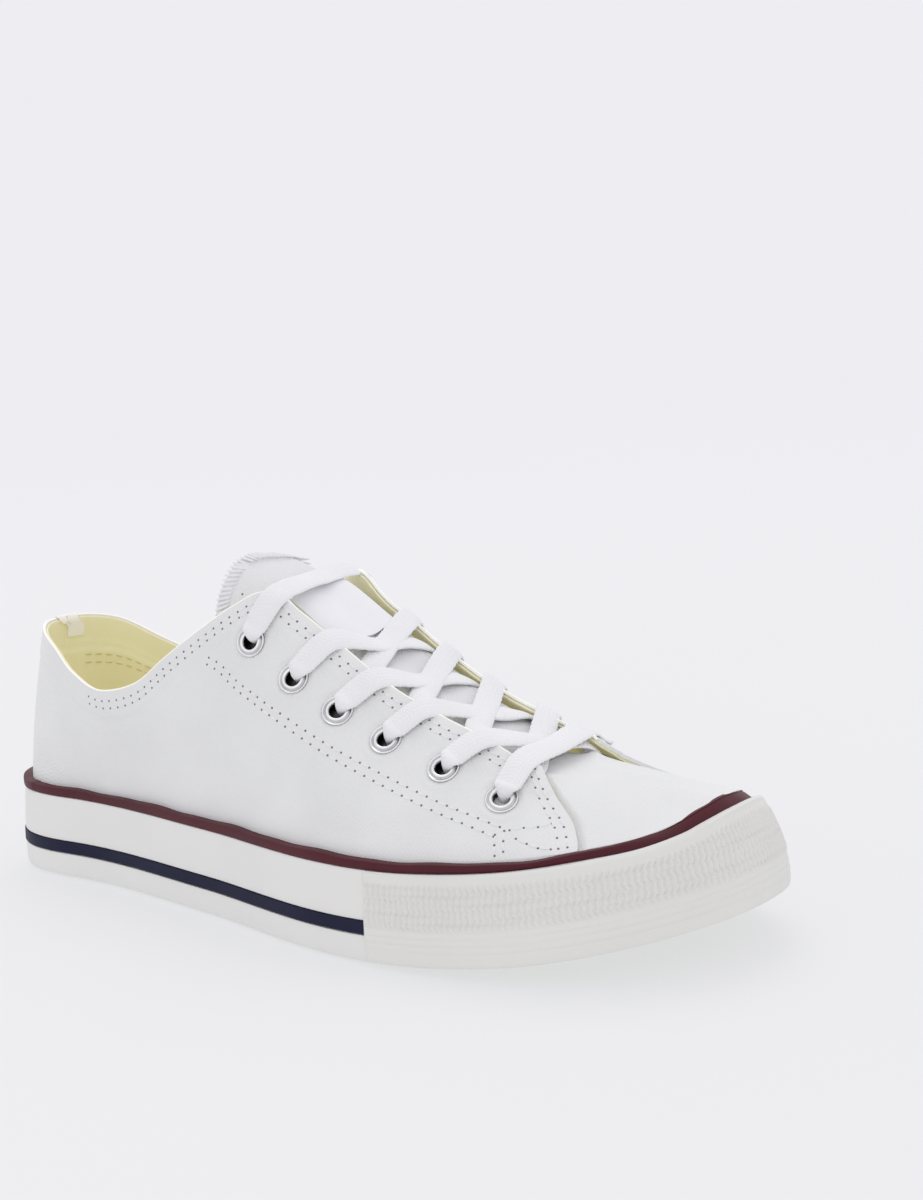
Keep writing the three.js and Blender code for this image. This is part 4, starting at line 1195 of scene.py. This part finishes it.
def make_vamp():
    turns = both_sides(151)
    ups = np.linspace(0, 1, 70)

    def along_of(side, share, height):
        return 1 - VAMP_BACK * share

    points, _, _ = sweep_sheet(turns, ups, along_of, vamp_frame)
    last = points[:, -1]
    tail_y = last[:, 1] * 1.04
    target = tongue_point(np.full(len(last), VAMP_TAIL_X), tail_y) + [0, 0, 1.3]
    tail_length = clamp01((last[:, 0] - VAMP_TAIL_X) / 6)[:, None]
    tail = [last + (target - last) * tail_length * share for share in np.linspace(0, 1, 9)[1:]]
    outer = np.concatenate([points, np.stack(tail, 1)], 1)
    toe = grid_normals(outer)
    toe *= np.sign((toe * [0, 0, 1]).sum(-1).mean())
    inner = outer - toe * 0.9
    down = np.array([0, 0, -SKIRT])
    profile = np.concatenate([outer[:, :1] + down, outer, inner[:, ::-1], inner[:, :1] + down], 1)
    piece = loft("toe_vamp", profile, [CANVAS], uv_of=vamp_uv)
    keep(piece, "canvas")


def round_the_heel(reach):
    """The share of one side's length at a distance from the middle of the heel."""
    return np.abs(reach) / side_length("lateral")


def heel_tape_half(up):
    """Half the width of the tape up the back of the heel."""
    return 8.0 - 1.6 * up


def heel_frame(reach, ups):
    """The quarters' frame at a signed distance from the middle of the heel, outer side negative."""
    along = round_the_heel(reach)
    outer, inner = quarter_frame("lateral", along, ups), quarter_frame("medial", along, ups)
    return [np.where(reach[:, None] < 0, a, b) for a, b in zip(outer, inner)]


def make_heel_strip():
    """The tape up the middle of the heel, folded over the top, with a short narrow end inside."""
    ups = np.linspace(0.02, 1, 46)
    inside_ups = np.linspace(0.985, 0.86, 12)
    narrowed = ease(np.linspace(0, 3, 12))
    columns = []
    for share in np.linspace(-1, 1, 25):
        point, normal, top = heel_frame(share * heel_tape_half(ups), ups)
        outside = point + normal * 0.5
        over = [
            (point[-1] + normal[-1] * (0.5 - reach) + top[-1] * rise)[None]
            for reach, rise in ((0.15, 0.45), (0.9, 0.85), (1.9, 0.65))
        ]
        reach = share * mix(6.0, 4.4, narrowed) + mix(0.6, TAPE_END_ASIDE, narrowed)
        point, normal, _ = heel_frame(reach, inside_ups)
        inside = point - normal * (LINING_DEPTH + 0.35)
        columns.append(np.concatenate([outside, *over, inside]))
    grid = np.stack(columns, 1)
    keep(slab("heel_strip", grid[:, ::-1], 0.32, TAPE_GLOW, uv_of=quarter_uv), "canvas")


# ---------------------------------------------------------------- tongue
def tongue_point(x, y):
    """A point on the tongue's upper face, which falls away to both sides."""
    x, y = np.broadcast_arrays(np.asarray(x, float), np.asarray(y, float))
    slope = tongue_at["z"](x + 0.5) - tongue_at["z"](x - 0.5)
    square = unit(np.stack([-slope, np.zeros_like(x), np.ones_like(x)], -1))
    drop = tongue_at["drop"](x) * np.abs(y / tongue_at["half"](x)) ** TONGUE_ARCH
    lift = tongue_at["inner_lift"](x) * ease(y / 17) - tongue_at["tilt"](x) * y
    crown = np.stack([x, y, tongue_at["z"](x) + lift], -1)
    return crown - square * drop[..., None]


def tongue_frame(x, y):
    """A point on the tongue's upper face and its normal."""
    point = tongue_point(x, y)
    ahead = tongue_point(x + 0.4, y) - tongue_point(x - 0.4, y)
    aside = tongue_point(x, y + 0.3) - tongue_point(x, y - 0.3)
    return point, unit(np.cross(ahead, aside))


def tongue_half(x):
    """Half the tongue's width, with its free end rounded off."""
    share = clamp01((TONGUE_TOP + CORNER_LONG - x) / CORNER_LONG)
    return tongue_at["half"](x) - CORNER_WIDE * (1 - np.sqrt(1 - share**2))


def make_tongue():
    """The padded tongue: a rounded sheet bent over the instep."""
    xs = TONGUE_TOP + (TONGUE_ROOT - TONGUE_TOP) * np.linspace(1, 0, 150) ** 1.6
    across = np.sin(np.linspace(-0.5, 0.5, 61) * np.pi)
    rows = []
    for x in xs:
        y = across * tongue_half(x)
        point, normal = tongue_frame(np.full_like(y, x), y)
        edge = 1 - np.abs(across)
        fat = TONGUE_THICKNESS * (0.45 + 0.55 * ease(edge / 0.12))
        end = 0.5 + 0.5 * ease((x - TONGUE_TOP) / 3)
        top = point - normal * ((TONGUE_THICKNESS - fat) * 0.5 + (1 - end) * 0.8)[:, None]
        under = top - normal * (fat * end)[:, None]
        rows.append(np.concatenate([top, under[::-1]]))

    def uv_of(points):
        return np.stack([points[:, 0] * 1.2, points[:, 1]], -1)

    size = 2 * len(across)
    slots = np.zeros(size, int)
    slots[len(across) : size - 1] = 1
    piece = loft("tongue_body", rows, [TONGUE_CANVAS, LINING_GLOW], uv_of=uv_of, row_slots=slots)
    keep(piece, "canvas", "tongue")


def tongue_rim():
    """Places and normals along the tongue's free edge: up the outer side, across the top and down again."""
    x = TONGUE_TOP + (OVERLOCK_START - TONGUE_TOP) * np.linspace(1, 0, 300) ** 2
    y = tongue_half(x) * 0.985
    across = np.linspace(-1, 1, 20)[1:-1] * y[-1]
    x = np.concatenate([x, np.full_like(across, TONGUE_TOP), x[::-1]])
    y = np.concatenate([-y, across, y[::-1]])
    return resample(*tongue_frame(x, y), 1.6)


def make_tongue_edge():
    """Slanted overlock threads wrapped round the tongue's free edge."""
    centre, normal = tongue_rim()
    ahead = unit(np.gradient(centre, axis=0))
    inwards = unit(np.cross(ahead, normal))
    inwards *= np.sign(((tongue_point(135.0, 0.0) - centre) * inwards).sum(-1))[:, None]
    rib = unit(inwards + ahead * 0.3)
    place = centre + inwards * 1.9 + normal * 0.05
    axes = np.stack([rib * 2.7, unit(np.cross(normal, rib)) * 0.55, normal * 0.4], 1)
    keep(joined("tongue_overlock", place, axes, THREAD), "canvas")


def make_label():
    """A bare woven patch on the tongue."""
    xs = np.linspace(LABEL_FRONT, LABEL_BACK, 40)
    ys = np.linspace(-LABEL_HALF, LABEL_HALF, 30)
    grid = []
    for x in xs:
        point, normal = tongue_frame(np.full_like(ys, x), ys)
        grid.append(point + normal * LABEL_LIFT)
    piece = slab("tongue_label", np.array(grid), LABEL_LIFT, LABEL, uv_of=lambda points: points[:, :2])
    keep(piece, "canvas")


# ---------------------------------------------------------------- stitching
stitch_marks = {"thread": [], "hole_shade": [], "gold": []}


def resample(points, normals, spacing):
    lengths = run_length(points)
    count = max(2, int(lengths[-1] / spacing))
    at = np.linspace(0, lengths[-1], count + 1)
    centre = np.stack([np.interp(at, lengths, points[:, k]) for k in range(3)], -1)
    facing = unit(np.stack([np.interp(at, lengths, normals[:, k]) for k in range(3)], -1))
    return centre, facing


def mark(kind, centres, aheads, normals, half_sizes):
    """Notes small beads on a surface, with their half sizes ahead, across and out of it."""
    for centre, ahead, normal in zip(centres, aheads, normals):
        axes = (ahead, np.cross(normal, ahead), normal)
        scaled = [axis * half for axis, half in zip(axes, half_sizes)]
        stitch_marks[kind].append((centre + normal * 0.02, scaled))


def sew(points, normals, spacing=3.5, thread="thread", shade_holes=True):
    """Notes a row of stitches along a line on a surface, and a dark dot of painted shade for the hole at
    each end of a stitch.
    """
    centre, facing = resample(points, normals, spacing)
    middle = (centre[1:] + centre[:-1]) / 2
    way = unit(centre[1:] - centre[:-1])
    mark(thread, middle, way, unit(facing[1:] + facing[:-1]), (spacing * 0.37, 0.3, 0.26))
    if shade_holes:
        mark("hole_shade", centre, unit(np.gradient(centre, axis=0)), facing, (0.36, 0.36, 0.1))


def sew_below_edge(side, first, last, below):
    """A row along the opening, a distance below its edge."""
    along = np.linspace(first, last, 120)
    up = up_below_edge(side, along, np.full_like(along, below))
    point, normal, _ = quarter_frame(side, along, up)
    sew(point, normal)


def sew_across(side, route, offset=0.0):
    """A row along a route of (x, z) points, shifted square to it in side view."""
    route = np.array(route, float)
    at = run_length(route)
    fine = np.linspace(0, at[-1], 100)
    targets = np.stack([smooth(at, route[:, 0])(fine), smooth(at, route[:, 1])(fine)], -1)
    ahead = unit(np.gradient(targets, axis=0))
    targets = targets + offset * np.stack([-ahead[:, 1], ahead[:, 0]], -1)
    along, up = locate(side, targets)
    point, normal, _ = quarter_frame(side, along, up)
    sew(point, normal)


def sew_front_edge(side, behind):
    """A row down the quarters' front edge, a distance behind it."""
    up = np.linspace(0.95, 0.08, 80)
    along = front_at[side](up)
    for _ in range(4):
        along = along + (front_distance(side, along, up) - behind) * 0.004
    point, normal, _ = quarter_frame(side, along, up)
    sew(point, normal)


def sew_quarters():
    for side in SIGN:
        sew_below_edge(side, 0.466, 0.762, 2.9)
        sew_below_edge(side, 0.47, 0.752, 5.3)
        sew_below_edge(side, 0.235, 0.452, 3.0)
        sew_below_edge(side, 0.235, 0.446, 5.4)
        for offset in (-1.1, 1.1):
            sew_across(side, FACING_ROW, offset)
            sew_across(side, FRONT_DROP_ROW, offset)
        for route in FRONT_TOE_ROWS:
            sew_across(side, route)
        sew_front_edge(side, 2.8)
        sew_front_edge(side, 5.3)


def sew_heel_lining():
    """The double row of the heel's second layer, inside."""
    for side in SIGN:
        along = np.linspace(0.03, 0.27, 60)
        for below_top in (0.05, 0.11):
            point, normal, _ = lining_frame(side, along, heel_layer_top(along) - below_top)
            sew(point - normal * (LINING_DEPTH + 0.05), -normal, thread="gold", shade_holes=False)


def sew_heel_strip():
    for side in SIGN:
        up = np.linspace(0.04, 0.97, 60)
        point, normal, _ = quarter_frame(side, round_the_heel(heel_tape_half(up) - 1.5), up)
        sew(point + normal * 0.55, normal)


def sew_tongue():
    for side in (-1, 1):
        x = np.linspace(150, 121, 60)
        point, normal = tongue_frame(x, side * (tongue_at["half"](x) - 7.5))
        sew(point, normal)
    front, back, half = LABEL_FRONT - 0.8, LABEL_BACK + 0.8, LABEL_HALF - 0.9
    border = [(front, -half), (front, half), (back, half), (back, -half), (front, -half)]
    for (x0, y0), (x1, y1) in zip(border, border[1:]):
        share = np.linspace(0, 1, 30)
        point, normal = tongue_frame(mix(x0, x1, share), mix(y0, y1, share))
        sew(point + normal * LABEL_LIFT, normal, spacing=2.0, shade_holes=False)


def make_stitches():
    sew_quarters()
    sew_heel_lining()
    sew_heel_strip()
    sew_tongue()
    looks = {
        "thread": ("stitch_threads", THREAD, "canvas"),
        "gold": ("lining_stitches", GOLD_THREAD, "lining"),
        "hole_shade": ("needle_hole_shades", NEEDLE_HOLE_SHADE, "canvas"),
    }
    for kind, (name, material, slot) in looks.items():
        centres, axes = zip(*stitch_marks[kind])
        keep(joined(name, centres, axes, material), slot)


# ---------------------------------------------------------------- eyelets and laces
EYELET_PROFILE = (  # radius, height, and the metal of the band from there to the next row; the darker metals are painted shade
    (0.5, -2.4, "barrel_shade"),
    (0.5, -3.4, "barrel_shade"),
    (EYELET_BARREL, -3.4, "barrel_shade"),
    (EYELET_BARREL, -0.2, "groove"),
    (4.5, -0.2, "groove"),
    (4.75, 0, "groove"),
    (4.72, 0.4, "rim"),
    (4.45, 0.62, "rim"),
    (4.2, 0.5, "groove"),
    (3.95, 0.3, "groove"),
    (3.65, 0.36, "groove"),
    (3.4, 0.7, "rim"),
    (3.05, 0.92, "rim"),
    (2.7, 0.8, "rim"),
    (2.5, 0.42, "rim"),
    (EYELET_BORE, 0, "barrel_shade"),
    (EYELET_BORE, -2.4, "barrel_shade"),
)


def make_eyelets():
    """Metal rings with a thin outer lip and a rolled inner one, over a tube through the canvas. Painted
    shade:
    the inside of the tube and its closed back are near black for the dark of the hole, and the groove and
    the ring's outer edge and underside are darker grey.
    """
    metals = {"rim": NICKEL, "groove": GROOVE_SHADE, "barrel_shade": BARREL_SHADE}
    slots = np.array([list(metals).index(metal) for _, _, metal in EYELET_PROFILE])
    for place in eyelets.values():
        up, out = place["upwards"], place["normal"]
        side_way = np.cross(out, up)
        rings = []
        for a in full_turn(44):
            radial = math.cos(a) * up + math.sin(a) * side_way
            rings.append([place["point"] + r * radial + z * out for r, z, _ in EYELET_PROFILE])
        name = f"{place['side']}_{place['index'] + 1}"
        piece = loft(f"ring_{name}", rings, list(metals.values()), closed=True, row_slots=slots, sharp=60)
        keep(piece, "eyelet_metal", f"eyelet_{name}")


def edge_along(x):
    """Where along the opening's edge a given x lies."""
    share = np.linspace(0, 1, 2001)
    return float(np.interp(x, edge_at["x"](share), share))


def canvas_place(side, along, below, lift):
    """A place above (or, with a negative lift, behind) the quarters' cloth, and its normal."""
    along = np.array([along])
    up = up_below_edge(side, along, below)
    point, normal, _ = quarter_frame(side, along, up)
    return point[0] + normal[0] * lift, normal[0]


def from_eyelet(place, slant):
    """The start of a lace: up through its eyelet, over the rim and up the canvas to the throat's edge."""
    point, normal = place["point"], place["normal"]
    along, below = EYELETS[place["index"]]
    edge = edge_along(point[0] + slant)
    middle, middle_normal = canvas_place(place["side"], (along + edge) / 2, below / 2, LACE_LIFT + 0.15)
    top, top_normal = canvas_place(place["side"], edge, 1, LACE_LIFT + 0.2)
    way = unit(middle - point)
    return [
        (point - normal * 5.0 + way * 0.6, -way, GATHERED_WIDTH),
        (point - normal * 1.5 + way * 0.6, -way, GATHERED_WIDTH),
        (point + normal * 0.75 + way * 1.1, unit(0.6 * normal - way), 4.5),
        (point + normal * 1.95 + way * 2.5, unit(normal - 0.4 * way), 6.5),
        (mix(point + normal * 2.1, middle, 0.6), normal, 7.6),
        (middle + middle_normal * 0.15, middle_normal, LACE_WIDTH),
        (top, top_normal, LACE_WIDTH),
    ]


def over_tongue(a, b, share, lift):
    """A place of a lace between two others, held up off the tongue."""
    point = mix(a, b, share)
    point[2] = max(point[2], tongue_point(point[0], point[1])[2] + lift)
    return point, np.array([0.4, 0, 0.9]), LACE_WIDTH


def into_eyelet(side, index):
    """The hidden end of a lace: behind the canvas to the next eyelet."""
    place = eyelets[side, index]
    along, below = EYELETS[index]
    edge = edge_along(place["point"][0] + 2)
    behind, normal = canvas_place(side, (along + edge) / 2, below / 2, -(LINING_DEPTH + LACE_LIFT + 0.2))
    back = place["point"] - place["normal"] * 5.0
    return [
        (behind, normal, LACE_WIDTH),
        (mix(behind, back, 0.75), normal, 5.0),
        (back, place["upwards"], GATHERED_WIDTH),
    ]


def spline(values, steps):
    """A centripetal Catmull-Rom curve through rows of values, spaced by their first three columns."""
    values = np.asarray(values, float)
    knots = np.concatenate([[0], np.cumsum(np.linalg.norm(np.diff(values[:, :3], axis=0), axis=-1) ** 0.5)])
    at = np.linspace(0, knots[-1], steps)
    return np.stack([smooth(knots, values[:, k])(at) for k in range(values.shape[1])], -1)


def strand(places, steps):
    """Closed profiles of a flat lace through places of (point, facing, width)."""
    rows = [np.concatenate([point, facing, [width]]) for point, facing, width in places]
    line = spline(rows, steps)
    centre, facing, width = line[:, :3], line[:, 3:6], line[:, 6]
    ahead = unit(np.gradient(centre, axis=0))
    across = unit(np.cross(ahead, facing))
    thick = unit(np.cross(across, ahead))
    gathered = clamp01((LACE_WIDTH - width) / (LACE_WIDTH - GATHERED_WIDTH))
    half_thick = LACE_THICKNESS / 2 * (1 + 0.4 * gathered)
    curl = 0.16 + 0.8 * gathered**2
    waver = 0.12 * np.sin(2 * np.pi * run_length(centre) / BRAID_PITCH)
    profile = []
    for a in full_turn(28):
        x = math.copysign(abs(math.cos(a)) ** 0.75, math.cos(a))
        z = math.copysign(abs(math.sin(a)) ** 0.6, math.sin(a))
        wide = (width / 2 + waver * abs(x)) * x
        profile.append(centre + across * wide[:, None] + thick * (half_thick * z - curl * x * x)[:, None])
    return np.stack(profile, 1)


def lace_uvs(profiles):
    """Millimetres along the lace and across it, the same on both faces."""
    size = profiles.shape[1]
    u = run_length(profiles.mean(axis=1))
    turn = np.linspace(0, 2 * np.pi, size + 1)
    v = LACE_WIDTH / 2 * (1 + np.cos(turn))
    return np.stack(np.broadcast_arrays(u[:, None], v[None, :]), -1)


def ribbon(name, strands, nodes):
    """One piece from one or more strands."""
    points, faces, corners = [], [], []
    base = 0
    for profiles in strands:
        count, size = profiles.shape[:2]
        sides, i, j = side_faces(count, size)
        ends = end_faces(count, size)
        faces += [base + sides, base + ends]
        corners += [grid_corners(lace_uvs(profiles), i, j), np.zeros((len(ends), 4, 2))]
        points.append(profiles.reshape(-1, 3))
        base += count * size
    piece = build_mesh(name, np.concatenate(points), np.concatenate(faces), np.concatenate(corners), [LACE])
    keep(piece, "lace", *nodes)


def make_bar(name, index):
    """A lace straight across, from an eyelet to the one opposite."""
    slants = TOP_SLANT if index == 0 else {"lateral": 0, "medial": 0}
    left = from_eyelet(eyelets["lateral", index], slants["lateral"])
    right = from_eyelet(eyelets["medial", index], slants["medial"])
    rise = TOP_RISE if index == 0 else 0
    middle = over_tongue(left[-1][0], right[-1][0], 0.5, 2 * LACE_LIFT + rise)
    ribbon(name, [strand([*left, middle, *right[::-1]], 150)], [f"lace_bar_{index + 1}"])


def crossing(side, index, lift):
    """A lace from the top of an eyelet across the throat, under the other edge and on to the next eyelet."""
    other = "medial" if side == "lateral" else "lateral"
    start = from_eyelet(eyelets[side, index], CROSSING_SLANT)
    edge = edge_along(eyelets[other, index + 1]["point"][0] + 2)
    end, end_normal = canvas_place(other, edge, 0, -(LINING_DEPTH + LACE_LIFT))
    end = end - [0, SIGN[other], 0]
    middle = over_tongue(start[-1][0], end, 0.5, LACE_LIFT + lift)
    far = over_tongue(middle[0], end, 0.55, LACE_LIFT + 0.3)
    hidden = into_eyelet(other, index + 1)
    return strand([*start, middle, far, (end, end_normal, LACE_WIDTH), *hidden], 150)


def make_laces():
    make_bar("lace_top", 0)
    make_bar("lace_toe", 5)
    for index in range(1, 5):
        strands = [crossing("medial", index, 1.6), crossing("lateral", index, 0.6)]
        ribbon(f"lace_pair_{index + 1}", strands, [f"lace_cross_{index + 1}"])


def make_shoe():
    make_foxing()
    make_upper_stripe()
    make_lower_stripe()
    make_bumper()
    make_outsole()
    make_insole()
    make_quarters()
    make_vamp()
    make_heel_strip()
    make_edge_roll()
    make_tongue()
    make_tongue_edge()
    make_label()
    make_eyelets()
    make_laces()
    make_stitches()


make_camera()
make_lights()
make_floor()
make_shoe()
